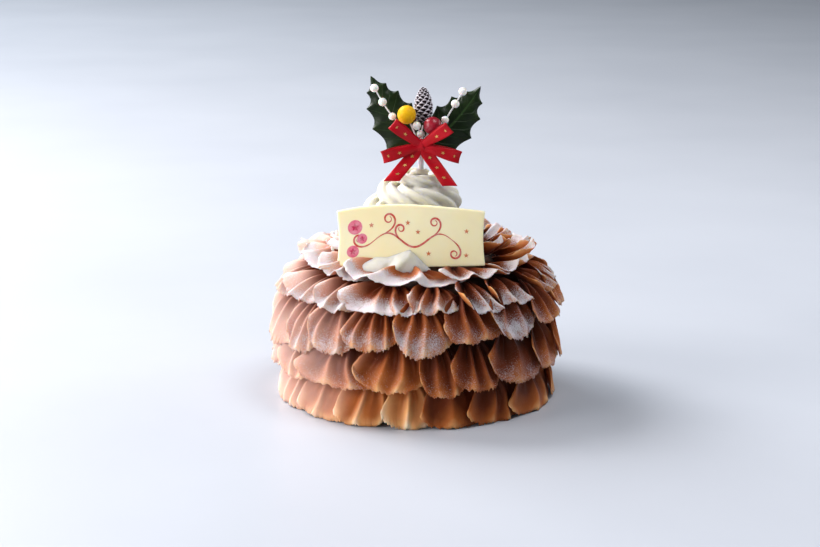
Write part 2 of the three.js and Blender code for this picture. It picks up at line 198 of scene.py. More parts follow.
# What the fans share, in millimetres or as a share, where their row gives no other value
FAN = dict(
    thickness=0.6,
    ground=0.2,  # height of an edge that reaches the floor
    rise=0.0,  # how much higher the edge sits at both sides of the cake than in front
    crease=1.0,  # below 1 the crests of the folds are sharper
    edge_fold=0.7,  # how much of a fold's depth is left at the edge
    ripple=4.6,  # how far the sheet wanders in and out between the folds
    uneven=0.12,  # how much shorter than the longest a fan may be
    scallop=0.36,  # how far the edge is rounded off towards its corners
    gather=0.18,  # width at the pinch
    overlap=0.5,  # how far a fan spreads past its place in the row
    shingle=1.4,  # how far its left side stands out over the next fan
    tones=(),  # how much paler each of the front fans is
)

# The rows from the base up. Pinch and edge give a radius, a height and how much higher the right side
# sits. The bend between them gives its share of the way out and up. The joins between the front fans are
# in degrees from the front, and the other fans share the rest of the ring. Curl turns the edge out. Sugar
# gives the radius where it starts, the share of a fan's length where it is full, and its amount.
FAN_ROWS_UP = [
    dict(
        pinch=(61.5, 26, 0),
        edge=(69.6, -0.8, 0),
        bend=(0.72, 0.3),
        joins=(-46, -27, -12, 4, 25, 44, 73),
        fans=18,
        tones=(0, 0.05, 0.2, -0.1, -0.12, -0.06),
        folds=2.2,
        depth=2.0,
        crease=0.8,
        edge_fold=0.4,
        uneven=0.01,
        scallop=0.15,
        curl=0.0,
        pale=0.1,
        sugar=(80, 0.9, 0.0),
    ),
    dict(
        pinch=(61.5, 43.5, 3),
        edge=(73.2, 15.0, -1),
        bend=(0.75, 0.3),
        joins=(-60, -41, -19, 1, 16, 33, 54),
        fans=19,
        tones=(0, 0, 0, -0.04, -0.12, 0),
        folds=2.3,
        depth=2.8,
        crease=0.8,
        edge_fold=0.4,
        curl=0.6,
        pale=0.0,
        sugar=(66, 0.95, 0.45),
    ),
    dict(
        pinch=(58, 61.5, 3),
        edge=(73.4, 34.6, 6.5),
        bend=(0.85, 0.22),
        joins=(-78, -54, -41, -25, -7, 11, 32),
        fans=19,
        folds=3.2,
        depth=2.7,
        crease=0.8,
        edge_fold=0.4,
        curl=0.7,
        pale=0.03,
        sugar=(65, 0.9, 0.6),
    ),
    dict(
        pinch=(50, 67.0, 0),
        edge=(70.5, 54.4, 1.5),
        bend=(0.62, 0.2),
        joins=(-64, -41, -26, 0, 18, 35),
        fans=18,
        folds=2.6,
        depth=3.0,
        curl=0.5,
        pale=0.03,
        sugar=(55, 0.95, 0.72),
    ),
    dict(
        pinch=(38, 72.0, -2.5),
        edge=(60.5, 68.6, 1.5),
        rise=7.5,
        bend=(0.5, -0.3),
        joins=(-75, -51, -27, 17, 44, 70),
        fans=14,
        folds=2.2,
        depth=3.0,
        curl=0.5,
        pale=0.1,
        sugar=(44, 1.0, 0.8),
    ),
    dict(
        pinch=(34, 73.0, 0),
        edge=(47, 80.5, 2.5),
        bend=(0.55, 0.4),
        joins=(51,),
        arc_end=306,
        fans=11,
        folds=1.9,
        depth=3.2,
        curl=0.3,
        pale=0.05,
        sugar=(30, 0.7, 0.8),
    ),
]


def blend(tree, factor, first, second):
    """One colour turning into another as the factor goes from 0 to 1."""
    made = add_node(tree, "ShaderNodeMix", data_type="RGBA")
    feed(tree, made.inputs[0], factor)
    for entry, colour in zip((made.inputs[6], made.inputs[7]), (first, second)):
        feed(tree, entry, (*colour, 1.0) if isinstance(colour, tuple) else colour)
    return made.outputs[2]


def smooth_step(tree, value, low, high):
    made = add_node(tree, "ShaderNodeMapRange", interpolation_type="SMOOTHSTEP")
    for key, entry in (("Value", value), ("From Min", low), ("From Max", high)):
        feed(tree, made.inputs[key], entry)
    return Value(tree, made.outputs[0])


def start_tree(name, sizes, kind="NodeSocketFloat"):
    """A Geometry Nodes tree with a geometry, a material and one named input for each size."""
    made = bpy.data.node_groups.new(name, "GeometryNodeTree")
    made.interface.new_socket("Geometry", in_out="INPUT", socket_type="NodeSocketGeometry")
    for size in sizes:
        made.interface.new_socket(size, in_out="INPUT", socket_type=kind)
    made.interface.new_socket("Material", in_out="INPUT", socket_type="NodeSocketMaterial")
    made.interface.new_socket("Geometry", in_out="OUTPUT", socket_type="NodeSocketGeometry")
    given = made.nodes.new("NodeGroupInput").outputs
    return made, given, {size: Value(made, given[size]) for size in sizes}


def end_tree(tree, given, geometry):
    """Realizes what the tree made, shades it smooth and gives it its material."""
    realized = add_node(tree, "GeometryNodeRealizeInstances", {"Geometry": geometry})
    smoothed = add_node(tree, "GeometryNodeSetShadeSmooth", {"Geometry": realized.outputs[0]})
    painted = add_node(
        tree, "GeometryNodeSetMaterial", {"Geometry": smoothed.outputs[0], "Material": given["Material"]}
    )
    feed(tree, tree.nodes.new("NodeGroupOutput").inputs[0], painted.outputs[0])


def named(tree, name):
    made = add_node(tree, "GeometryNodeInputNamedAttribute", {"Name": name}, data_type="FLOAT")
    return Value(tree, made.outputs[0])


def keep(tree, geometry, name, value):
    """The geometry with a number stored on each of its points."""
    made = add_node(tree, "GeometryNodeStoreNamedAttribute", data_type="FLOAT", domain="POINT")
    for key, entry in (("Geometry", geometry), ("Name", name), ("Value", value)):
        feed(tree, made.inputs[key], entry)
    return made.outputs[0]


def vector(tree, x, y, z):
    return add_node(tree, "ShaderNodeCombineXYZ", {"X": x, "Y": y, "Z": z}).outputs[0]


def axes(tree, point):
    """The three numbers of a vector."""
    made = add_node(tree, "ShaderNodeSeparateXYZ", {0: point})
    return [Value(tree, output) for output in made.outputs]


def moved(tree, geometry, spot):
    """The geometry with each of its points put on its own spot."""
    return add_node(tree, "GeometryNodeSetPosition", {"Geometry": geometry, "Position": spot}).outputs[0]


def together(tree, *parts):
    made = tree.nodes.new("GeometryNodeJoinGeometry")
    for part in parts:
        tree.links.new(part, made.inputs[0])
    return made.outputs[0]


def chance(tree, number):
    """A share from 0 to 1 that stays the same for the same number."""
    made = add_node(tree, "ShaderNodeTexWhiteNoise", {"W": number}, noise_dimensions="1D")
    return Value(tree, made.outputs["Value"])


def link(name, mesh):
    piece = bpy.data.objects.new(name, mesh)
    bpy.context.scene.collection.objects.link(piece)
    return piece


def applied(piece):
    """A piece with its modifiers worked into a plain mesh."""
    graph = bpy.context.evaluated_depsgraph_get()
    mesh = bpy.data.meshes.new_from_object(
        piece.evaluated_get(graph), preserve_all_data_layers=True, depsgraph=graph
    )
    piece.modifiers.clear()
    piece.data = mesh
    return piece


def grow(name, base, tree, sizes, material):
    """The piece that a tree makes from a base mesh."""
    piece = link(name, base)
    modifier = piece.modifiers.new("Nodes", "NODES")
    modifier.node_group = tree
    given = {**sizes, "Material": material}
    for item in tree.interface.items_tree:
        if item.in_out == "INPUT" and item.name in given:
            modifier[item.identifier] = given[item.name]
    return applied(piece)


def points_mesh(name, points, **numbers):
    """A mesh of bare points, with a number for each point under each name."""
    made = bpy.data.meshes.new(name)
    made.from_pydata(points, [], [])
    for key, values in numbers.items():
        made.attributes.new(key, "FLOAT", "POINT").data.foreach_set("value", values)
    return made


def fan_sizes(row, number):
    """The inputs of the tree of fans for one row."""
    pinch, edge, bend, sugar = (row[key] for key in ("pinch", "edge", "bend", "sugar"))
    return {
        "Pinch Radius": pinch[0] * MM,
        "Pinch Height": pinch[1] * MM,
        "Pinch Lean": pinch[2] * MM,
        "Edge Radius": edge[0] * MM,
        "Edge Height": edge[1] * MM,
        "Edge Lean": edge[2] * MM,
        "Edge Rise": row["rise"] * MM,
        "Bend Out": bend[0],
        "Bend Up": bend[1],
        "Folds": row["folds"],
        "Fold Depth": row["depth"] * MM,
        "Crease": row["crease"],
        "Edge Fold": row["edge_fold"],
        "Ripple": row["ripple"] * MM,
        "Uneven": row["uneven"],
        "Scallop": row["scallop"],
        "Gather": row["gather"],
        "Overlap": row["overlap"],
        "Shingle": row["shingle"] * MM,
        "Curl": row["curl"] * MM,
        "Thickness": row["thickness"] * MM,
        "Ground": row["ground"] * MM,
        "Sugar From": sugar[0] * MM,
        "Sugar Along": sugar[1],
        "Sugar": sugar[2],
        "Paleness": row["pale"],
        "Seed": ROW_SEED_STEP * number,
    }


def fan_points(row, number):
    """A bare point for each fan of a row, with its place round the cake, its width and its tone."""
    marks = list(row["joins"])
    start = marks[-1]
    end = row.get("arc_end", marks[0] + 360)
    rest = row["fans"] - len(marks) + 1
    marks += [start + (end - start) * k / rest for k in range(1, rest + 1)]
    tones = [*row["tones"], *[0.0] * (row["fans"] - len(row["tones"]))]
    return points_mesh(
        f"fans_{number}",
        [(0, 0, 0)] * row["fans"],
        azimuth=[math.radians((a + b) / 2) for a, b in zip(marks, marks[1:])],
        span=[math.radians(b - a) for a, b in zip(marks, marks[1:])],
        fan=[float(k) for k in range(row["fans"])],
        tone=tones,
    )


def wander(tree, x, y, z, scale=1.0, detail=0.0):
    """A number about 0 that changes smoothly from place to place."""
    return noise(tree, vector(tree, x, y, z), scale, detail) - 0.5


def fan_sheets(tree, points):
    """A flat sheet for each fan. Its points know how far across and along it they lie, from 0 to 1."""
    grid = add_node(
        tree,
        "GeometryNodeMeshGrid",
        {"Size X": 1.0, "Size Y": 1.0, "Vertices X": FAN_COLUMNS + 1, "Vertices Y": FAN_ROWS + 1},
    )
    grid_x, grid_y, _ = axes(tree, tree.nodes.new("GeometryNodeInputPosition").outputs[0])
    sheet = keep(tree, grid.outputs["Mesh"], "across", grid_x + 0.5)
    sheet = keep(tree, sheet, "along", 0.5 - grid_y)
    fans = add_node(tree, "GeometryNodeInstanceOnPoints", {"Points": points, "Instance": sheet})
    return add_node(tree, "GeometryNodeRealizeInstances", {"Geometry": fans.outputs[0]}).outputs[0]


def fan_folds(tree, size, across, along, seed):
    """The folds, 1 on a crest and -1 in a hollow, and how far they stand off the sheet.

    Fine gathers at the pinch run together into a few crests with wide hollows between. The right side is
    tucked in, and the left side rolls out over the next fan.
    """
    shift = (across * math.tau).sin() * (chance(tree, seed) - 0.5) * FOLD_SHIFT
    waves = (across + shift) * math.pi * (size["Folds"] + chance(tree, seed + 1) * EXTRA_FOLDS)
    wave = waves.sin()
    softness = along * 0.14 + 0.04
    fold = 1 - (wave * wave + softness * softness).root() ** size["Crease"] * 2
    gathers = (0.5 - (waves * 2).sin().size()) * (1 - smooth_step(tree, along, 0.3, 0.85))
    ripple = wander(tree, across * 2.2, along * 1.2, seed, scale=1.6, detail=1.0)
    unequal = noise(tree, vector(tree, across * 2.4, seed, 1.5), scale=1.0, detail=0.0)
    depth = size["Fold Depth"] * (unequal * 1.4 + 0.3)
    side = across * 2 - 1
    tucked = smooth_step(tree, side, 0.15, 0.9)
    rolled = smooth_step(tree, side * -1, 0.35, 1.0)
    eased = 1 - smooth_step(tree, along, 0.5, 1.0) * (1 - size["Edge Fold"])
    away = (
        along ** 0.5 * depth * fold * (1 - tucked * 0.75) * eased
        + along ** 0.5 * depth * gathers * 0.6
        + along * along * ripple * size["Ripple"]
        + along ** 0.6 * (rolled - tucked * 2.4) * size["Shingle"]
        + along ** 4 * size["Curl"]
        - size["Thickness"] / 2
    )
    return fold, away


def fan_outline(tree, size, across, along, seed, fold):
    """How far down its fan and how far aside of the fan's middle each point lies, as shares.

    The fan is a sector that opens from the pinch to a round edge, finely torn.
    """
    side = across * 2 - 1
    corner = side.size() ** 2.6
    scallop = size["Scallop"] * (chance(tree, seed + 6) * 0.6 + 0.65)
    rounded = 1 - scallop * (1 - (1.001 - corner) ** 0.6)
    reach = (1 - chance(tree, seed + 3) * size["Uneven"]) * rounded - fold * along * 0.01
    notches = wander(tree, across * 14, seed, 0.5, detail=2.0) * NOTCH_DEPTH
    teeth = wander(tree, across * 56, seed, 3.5) * TOOTH_DEPTH
    torn = (notches + teeth - TEAR_LOSS) * smooth_step(tree, along, 0.8, 1.0)
    fringe = wander(tree, along * 40, seed, side * 5) * corner * along * FRINGE
    spread = side * (1 + size["Overlap"] * (chance(tree, seed + 7) * 0.8 + 0.6)) + fringe
    opened = 1 - (1 - size["Gather"]) * (1 - along) ** 1.8
    return along * reach + torn, spread * opened


def fan_hang(size, right, down, away):
    """The radius and height of each point: one bend from the pinch out to the free edge.

    The folds stand off that bend. An edge that reaches the ground stands on it.
    """
    pinch = (size["Pinch Radius"], size["Pinch Height"] + size["Pinch Lean"] * right)
    sides = size["Edge Lean"] * right + size["Edge Rise"] * right ** 4
    edge = (size["Edge Radius"], size["Edge Height"] + sides)
    bend = [p + (e - p) * size[share] for p, e, share in zip(pinch, edge, ("Bend Out", "Bend Up"))]
    rest = 1 - down
    radius, height = (
        p * rest * rest + b * rest * down * 2 + e * down * down for p, b, e in zip(pinch, bend, edge)
    )
    run, fall = ((b - p) * rest + (e - b) * down for p, b, e in zip(pinch, bend, edge))
    length = (run * run + fall * fall).root()
    height = (height + run / length * away).math("MAXIMUM", size["Ground"])
    return radius - fall / length * away, height


def fan_wall(tree, sheet, thickness):
    """A sheet given its thickness outwards and closed all round, with no sugar on its inner side."""
    outer = add_node(
        tree, "GeometryNodeExtrudeMesh", {"Mesh": sheet, "Offset Scale": thickness, "Individual": False}
    )
    inner = add_node(tree, "GeometryNodeFlipFaces", {"Mesh": keep(tree, sheet, "sugar", 0.0)})
    both = together(tree, outer.outputs["Mesh"], inner.outputs[0])
    return add_node(tree, "GeometryNodeMergeByDistance", {"Geometry": both, "Distance": WELD}).outputs[0]


def fan_row_tree(sizes):
    tree, given, size = start_tree("Chocolate fan row", sizes)
    sheets = fan_sheets(tree, given["Geometry"])
    across, along, fan, middle, span, tone = (
        named(tree, name) for name in ("across", "along", "fan", "azimuth", "span", "tone")
    )
    seed = fan * FAN_SEED_STEP + size["Seed"]
    fold, away = fan_folds(tree, size, across, along, seed)
    down, aside = fan_outline(tree, size, across, along, seed, fold)

    # Each fan leans a little to one side, and towards the back at both sides of the cake
    drift = wander(tree, across * 2.2, along * 1.6, seed + 2.5) * 0.9
    lean = ((chance(tree, seed + 4) - 0.5) * 0.7 + middle.sin() * 0.75 + drift) * along
    azimuth = middle + span * (aside + lean) * 0.5
    right = azimuth.sin()
    radius, height = fan_hang(size, right, down, away)
    hung = moved(tree, sheets, vector(tree, radius * right, radius * azimuth.cos() * -1, height))

    # Sugar lies where a fan stands out from under the row above and faces up
    _, _, facing_up = axes(tree, tree.nodes.new("GeometryNodeInputNormal").outputs[0])
    bare = smooth_step(tree, radius, size["Sugar From"], size["Sugar From"] + SUGAR_FADE)
    strewn = size["Sugar"] * (chance(tree, seed + 8) * 0.8 + 0.6)
    upward = (facing_up * 0.9 + 0.36 + right * 0.12).held()
    outward = smooth_step(tree, along, size["Sugar Along"] - 0.7, size["Sugar Along"])
    hung = keep(tree, hung, "sugar", bare * upward * outward * strewn)

    # Dark near the pinch, partly thick chocolate and partly painted shade, and pale towards the thin edge;
    # painted highlight on the crests, painted shade in the hollows and on the right side of the cake, and a
    # painted pale sheen on the left
    crest = (fold * 0.5 + 0.5).held()
    rim = smooth_step(tree, along, 0.82, 1.0)
    # Painted shade: the fans on the right side of the cake are darker, less so at the far right and towards
    # the edge
    turned = right.held() * (1 - smooth_step(tree, right, 0.8, 1.0))
    painted_right_shade = turned * (0.28 - along * 0.22)
    tint = (chance(tree, seed + 5) - 0.5) * 0.1 - painted_right_shade + tone + size["Paleness"]
    # The crest term is a painted highlight on the crests and painted shade in the hollows
    hung = keep(tree, hung, "pale", along ** 1.1 * (crest * 0.36 + 0.36) + rim * 0.1 + 0.03 + tint)
    # Painted sheen: a pale pinkish sheen on the crests of the fans on the left side of the cake, where the
    # light falls
    painted_sheen_share = (crest * 0.2 - right * 0.9 - 0.4).held() * smooth_step(tree, along, 0.15, 0.7)
    hung = keep(tree, hung, "painted_sheen", painted_sheen_share)

    end_tree(tree, given, fan_wall(tree, hung, size["Thickness"] * (1 - along * EDGE_THINNING)))
    return tree


def carried(tree, name):
    """A number that the mesh carries on its points."""
    return Value(tree, add_node(tree, "ShaderNodeAttribute", attribute_name=name).outputs["Fac"])


def fan_finish():
    """Milk chocolate: dark where it is pinched, pale and warm at the thin edge, dusted with sugar. Its colour
    also carries painted shade, painted highlights and a painted sheen.
    """
    material, tree, shader = new_finish(
        "Milk chocolate",
        Subsurface_Weight=0.3,
        Subsurface_Radius=(1.0, 0.42, 0.18),
        Subsurface_Scale=1.2 * MM,
        Specular_IOR_Level=0.1,
        Sheen_Weight=0.06,
        Sheen_Roughness=0.45,
        Sheen_Tint=(0.95, 0.85, 0.95, 1.0),
    )
    point = object_point(tree)
    pale, sugar, painted_sheen = (carried(tree, name) for name in ("pale", "sugar", "painted_sheen"))
    mottle = noise(tree, point, scale=120.0, detail=3.0) - 0.5
    # The dark end of this ramp, near the pinch, is partly thick chocolate and partly painted shade from the
    # row above
    chocolate = ramp(
        tree,
        (pale + mottle * 0.2).held(),
        [
            (0.0, (0.06, 0.011, 0.0036)),
            (0.25, (0.158, 0.03, 0.0073)),
            (0.5, (0.45, 0.128, 0.029)),
            (0.75, (0.78, 0.385, 0.15)),
            (1.0, (0.92, 0.7, 0.48)),
        ],
    )
    # Painted sheen on the left side of the cake, mixed into the chocolate colour
    chocolate = blend(tree, painted_sheen, chocolate, (0.9, 0.66, 0.6))
    grain = noise(tree, point, scale=2400.0, detail=2.0, roughness=0.75)
    drift = noise(tree, point, scale=300.0, detail=3.0)
    bare = 0.8 - sugar * (drift * 0.5 + 0.4)
    cover = smooth_step(tree, grain, bare - 0.15, bare + 0.15)
    feed(tree, shader.inputs["Base Color"], blend(tree, cover * 0.85, chocolate, (0.66, 0.65, 0.7)))
    feed(tree, shader.inputs["Roughness"], cover * 0.4 + 0.42 + mottle * 0.2)
    bump(tree, shader, cover * 0.6 + grain * 0.15 + mottle * 0.3, depth=0.25 * MM)
    return material


def place(piece, slot, *nodes):
    """Fixes a finished piece to the cake, in the place of its plain solids."""
    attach(piece, "root")
    if nodes:
        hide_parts(*nodes)


milk_chocolate = fan_finish()
rows_up = [{**FAN, **row} for row in FAN_ROWS_UP]
sizes_up = [fan_sizes(row, number) for number, row in enumerate(rows_up, start=1)]
fan_tree = fan_row_tree(sizes_up[0])
fan_pieces = []
for number, (row, sizes) in enumerate(zip(rows_up, sizes_up), start=1):
    fans = grow(f"chocolate_fans_{number}", fan_points(row, number), fan_tree, sizes, milk_chocolate)
    place(fans, "chocolate", f"fan_row_{number}")
    fan_pieces.append(fans)


# Icing sugar
# Fine sugar sifted over the finished fans. Most of it is a film on the chocolate, and the coarser
# grains and clots lie loose on it along the free edges.

GRAINS = {"Density": 9.0e5, "Smallest": 0.06 * MM, "Largest": 0.16 * MM}
GRAIN_SEED = 4
GRAIN_FLATNESS = 0.6


def sugar_tree():
    tree, given, size = start_tree("Icing sugar", GRAINS)
    sugar = named(tree, "sugar")
    strewn = add_node(
        tree,
        "GeometryNodeDistributePointsOnFaces",
        {"Mesh": given["Geometry"], "Density": sugar * sugar * size["Density"], "Seed": GRAIN_SEED},
    )
    grain = add_node(tree, "GeometryNodeMeshIcoSphere", {"Radius": 1.0, "Subdivisions": 1})
    spread = add_node(tree, "FunctionNodeRandomValue", data_type="FLOAT")
    feed(tree, spread.inputs[2], size["Smallest"])
    feed(tree, spread.inputs[3], size["Largest"])
    width = Value(tree, spread.outputs[1])
    grains = add_node(
        tree,
        "GeometryNodeInstanceOnPoints",
        {
            "Points": strewn.outputs["Points"],
            "Instance": grain.outputs["Mesh"],
            "Rotation": strewn.outputs["Rotation"],
            "Scale": vector(tree, width, width, width * GRAIN_FLATNESS),
        },
    )
    end_tree(tree, given, grains.outputs[0])
    return tree


def mesh_of(name, work, smooth=False):
    """The finished mesh of what was built in bmesh."""
    made = bpy.data.meshes.new(name)
    work.to_mesh(made)
    work.free()
    if smooth:
        made.polygons.foreach_set("use_smooth", [True] * len(made.polygons))
    return made


def joined(name, meshes):
    """One mesh from several, with their point attributes."""
    work = bmesh.new()
    for mesh in meshes:
        work.from_mesh(mesh)
    return mesh_of(name, work)


icing_sugar, tree, shader = new_finish(
    "Icing sugar",
    Roughness=0.9,
    Specular_IOR_Level=0.2,
    Subsurface_Weight=0.2,
    Subsurface_Scale=0.3 * MM,
)
speckle = noise(tree, object_point(tree), scale=900.0)
paint(tree, shader, speckle, (0.3, (0.8, 0.79, 0.82)), (0.7, (0.93, 0.93, 0.94)))
dusted_fans = joined("dusted_fans", [fans.data for fans in fan_pieces])
sugar_grains = grow("icing_sugar", dusted_fans, sugar_tree(), GRAINS, icing_sugar)
place(sugar_grains, "cream")


# Whipped cream
# Cream piped in one rope through a star tip: one turn flat on the cake, then four that climb inwards,
# pulled up to a point. The tip's teeth leave the folds, which twist along the rope.

CREAM = {
    "Turns": 5.0,
    "Flat Turns": 1.0,
    "Start": math.radians(158),
    "Ring": 21.3 * MM,
    "Foot Height": 77.4 * MM,
    "Top Height": 112.6 * MM,
    "Rope": 8.4 * MM,
    "Rope Tip": 1.4 * MM,
    "Ridges": 5.0,
    "Ridge Depth": 0.5,
    "Twist": math.radians(3300),
    "Foot Shift": -1.4 * MM,
    "Top Shift": 0.6 * MM,
}
ROPE_STEPS = 420
STAR_STEPS = 84
HEART_SIDES = 48


def cream_tree():
    tree, given, size = start_tree("Piped cream", CREAM)
    line = add_node(tree, "GeometryNodeCurvePrimitiveLine")
    path = add_node(tree, "GeometryNodeResampleCurve", {"Curve": line.outputs[0], "Count": ROPE_STEPS})
    along = Value(tree, tree.nodes.new("GeometryNodeSplineParameter").outputs["Factor"])
    turned = along * size["Turns"]
    angle = size["Start"] - turned * math.tau
    share = ((turned - size["Flat Turns"]) / (size["Turns"] - size["Flat Turns"])).held()
    ring = size["Ring"] * (1 - share ** 1.35)
    climb = size["Top Height"] - size["Foot Height"]
    height = size["Foot Height"] + climb * (1 - (1 - share) ** 1.9)
    middle = size["Foot Shift"] * (1 - share) + size["Top Shift"] * share
    spot = vector(tree, ring * angle.cos() + middle, ring * angle.sin(), height)
    wound = moved(tree, path.outputs[0], spot)
    rope = size["Rope"] * (1 - share ** 3) + size["Rope Tip"] * share
    thick = add_node(tree, "GeometryNodeSetCurveRadius", {"Curve": wound, "Radius": rope})
    twisted = add_node(
        tree, "GeometryNodeSetCurveTilt", {"Curve": thick.outputs[0], "Tilt": along * size["Twist"]}
    )

    # The star tip's opening, swept along the rope at the rope's own thickness
    circle = add_node(tree, "GeometryNodeCurvePrimitiveCircle", {"Resolution": STAR_STEPS, "Radius": 1.0})
    turn = Value(tree, tree.nodes.new("GeometryNodeSplineParameter").outputs["Factor"]) * math.tau
    lobe = (turn * size["Ridges"] / 2).cos().size()
    out = 1 - (1 - lobe ** 0.8) * size["Ridge Depth"]
    swept = add_node(
        tree,
        "GeometryNodeCurveToMesh",
        {
            "Curve": twisted.outputs[0],
            "Profile Curve": moved(
                tree, circle.outputs[0], vector(tree, out * turn.cos(), out * turn.sin(), 0.0)
            ),
            "Scale": tree.nodes.new("GeometryNodeInputRadius").outputs[0],
            "Fill Caps": True,
        },
    )

    # The cream inside the turns
    heart = add_node(
        tree,
        "GeometryNodeMeshCone",
        {
            "Vertices": HEART_SIDES,
            "Radius Top": size["Rope Tip"],
            "Radius Bottom": size["Ring"],
            "Depth": climb,
        },
    )
    foot = vector(tree, size["Foot Shift"], 0.0, size["Foot Height"])
    raised = add_node(
        tree, "GeometryNodeTransform", {"Geometry": heart.outputs["Mesh"], "Translation": foot}
    )
    end_tree(tree, given, together(tree, swept.outputs[0], raised.outputs[0]))
    return tree


def settled(piece, grain, rounds):
    """A piece made into one closed skin and smoothed, as soft cream closes up where it touches itself."""
    skin = piece.modifiers.new("Skin", "REMESH")
    skin.mode = "VOXEL"
    skin.voxel_size = grain
    skin.use_smooth_shade = True
    ease = piece.modifiers.new("Ease", "SMOOTH")
    ease.factor = 0.5
    ease.iterations = rounds
    return applied(piece)


whipped_cream, tree, shader = new_finish(
    "Whipped cream",
    Subsurface_Weight=0.9,
    Subsurface_Radius=(1.0, 0.95, 0.6),
    Subsurface_Scale=6 * MM,
    Specular_IOR_Level=0.35,
)
point = object_point(tree)
cloud = noise(tree, point, scale=70.0, detail=3.0)
fine = noise(tree, point, scale=900.0, detail=3.0)
paint(tree, shader, cloud, (0.3, (0.605, 0.595, 0.54)), (0.7, (0.665, 0.655, 0.6)))
feed(tree, shader.inputs["Roughness"], fine * 0.2 + 0.4)
bump(tree, shader, fine, depth=0.12 * MM)

rope_start = points_mesh("rope_start", [(0, 0, 0)])
cream_swirl = grow("cream_swirl", rope_start, cream_tree(), CREAM, whipped_cream)
settled(cream_swirl, grain=0.6 * MM, rounds=1)
coat(cream_swirl, whipped_cream)
place(cream_swirl, "cream", "whipped_cream")


# Plaque
# A plate of white chocolate set in a bent mould with an arched upper edge. Its foot stands in the cream
# and it leans back on the swirl.

PLAQUE = dict(
    width=71.6,
    thickness=2.4,
    centre_x=-2.8,
    foot=(-38, 72.4),  # Y and Z of the middle of the lower edge
    top=97.6,  # height of the upper corners
    arch=3.6,  # rise of the upper edge in the middle
    skew=0.3,  # share by which the left half rises more
    waist=1,  # how far the short sides curve in
    bend=2.5,  # how far the middle stands forward of the ends
    lean=7,  # how far the upper edge stands behind the lower one
    columns=48,
    rows=20,
    rounding=0.6,  # radius of the edges
    rounding_steps=3,
    sharp=50,  # degrees past which an edge is rounded
)


def plaque_point(across, up, out):
    """A point of the plaque in metres: across from -1 to 1, up from 0 to 1, out in mm from its middle."""
    half = PLAQUE["width"] / 2 - PLAQUE["waist"] * (1 - (2 * up - 1) ** 2)
    foot_y, foot_z = PLAQUE["foot"]
    top = PLAQUE["top"] + PLAQUE["arch"] * (1 - across ** 2) * (1 - PLAQUE["skew"] * across)
    height = foot_z + (top - foot_z) * up
    leaned = PLAQUE["lean"] * (height - foot_z) / (PLAQUE["top"] - foot_z)
    depth = foot_y + leaned + PLAQUE["bend"] * across ** 2 - out
    return Vector((PLAQUE["centre_x"] + across * half, depth, height)) * MM


def slab(name, columns, rows, point):
    """A thin closed solid between two faces split into the same grid. point(u, v, side) gives its corners."""
    work = bmesh.new()
    front, back = (
        [
            [work.verts.new(point(i / columns, j / rows, side)) for j in range(rows + 1)]
            for i in range(columns + 1)
        ]
        for side in (1, -1)
    )
    for i in range(columns):
        for j in range(rows):
            work.faces.new((front[i][j], front[i + 1][j], front[i + 1][j + 1], front[i][j + 1]))
            work.faces.new((back[i][j], back[i][j + 1], back[i + 1][j + 1], back[i + 1][j]))
    for i in range(columns):
        for j in (0, rows):
            work.faces.new((front[i][j], back[i][j], back[i + 1][j], front[i + 1][j]))
    for j in range(rows):
        for i in (0, columns):
            work.faces.new((front[i][j], front[i][j + 1], back[i][j + 1], back[i][j]))
    bmesh.ops.recalc_face_normals(work, faces=work.faces)
    return mesh_of(name, work, smooth=True)


def plaque_corner(u, v, side):
    return plaque_point(2 * u - 1, v, side * PLAQUE["thickness"] / 2)


white_chocolate, tree, shader = new_finish(
    "White chocolate",
    Subsurface_Weight=0.45,
    Subsurface_Radius=(1.0, 0.75, 0.35),
    Subsurface_Scale=1.5 * MM,
    Specular_IOR_Level=0.4,
)
point = object_point(tree)
cloud = noise(tree, point, scale=45.0, detail=3.0)
paint(tree, shader, cloud, (0.3, (0.92, 0.82, 0.5)), (0.7, (0.95, 0.88, 0.62)))
feed(tree, shader.inputs["Roughness"], noise(tree, point, scale=300.0) * 0.15 + 0.34)
bump(tree, shader, noise(tree, point, scale=220.0), depth=0.08 * MM)

plaque = link("chocolate_plaque", slab("plaque", PLAQUE["columns"], PLAQUE["rows"], plaque_corner))
rounded = plaque.modifiers.new("Rounded", "BEVEL")
rounded.width = PLAQUE["rounding"] * MM
rounded.segments = PLAQUE["rounding_steps"]
rounded.limit_method = "ANGLE"
rounded.angle_limit = math.radians(PLAQUE["sharp"])
applied(plaque)
coat(plaque, white_chocolate)
place(plaque, "white_chocolate", "plaque")


# Print on the plaque
# Edible colour laid on in a thin film: a red vine of scrolls, small orange stars, and pink discs with
# a darker star in each.

FILM = dict(lift=0.06, upper_lift=0.12, sunk=0.1)
VINE = dict(start=-18, end=20, height=12.6, swing=3.2, half_wave=13, points=90, widest=0.95, narrowest=0.3)

# Where each shoot leaves the vine, whether backwards, its length and its turns
SHOOTS = [
    (-18, True, 24, -1.3),
    (-14, False, 24, 1.3),
    (-4, True, 18, -1.2),
    (10, False, 22, 1.3),
    (20, False, 22, -1.3),
]
SHOOT_POINTS = 44
SHOOT_WINDING = 1.2
STARS = [(-19.5, 19.8), (-1.6, 20.6), (8.6, 6.4), (27.4, 17.8), (27.0, 5.6), (3.4, 16.4)]
STAR_RADIUS = 1.35
DISCS = [((-27.6, 19.4), 3.6), ((-24.2, 13.6), 2.5), ((-28.6, 7.4), 3.0)]
DISC_STAR = 0.6
DISC_CORNERS = 28


def on_plaque(x, z, lift):
    """A point on the front of the plaque, x and z in millimetres from the middle of its lower edge."""
    up = z / (PLAQUE["top"] + PLAQUE["arch"] - PLAQUE["foot"][1])
    return plaque_point(2 * x / PLAQUE["width"], up, PLAQUE["thickness"] / 2 + lift)


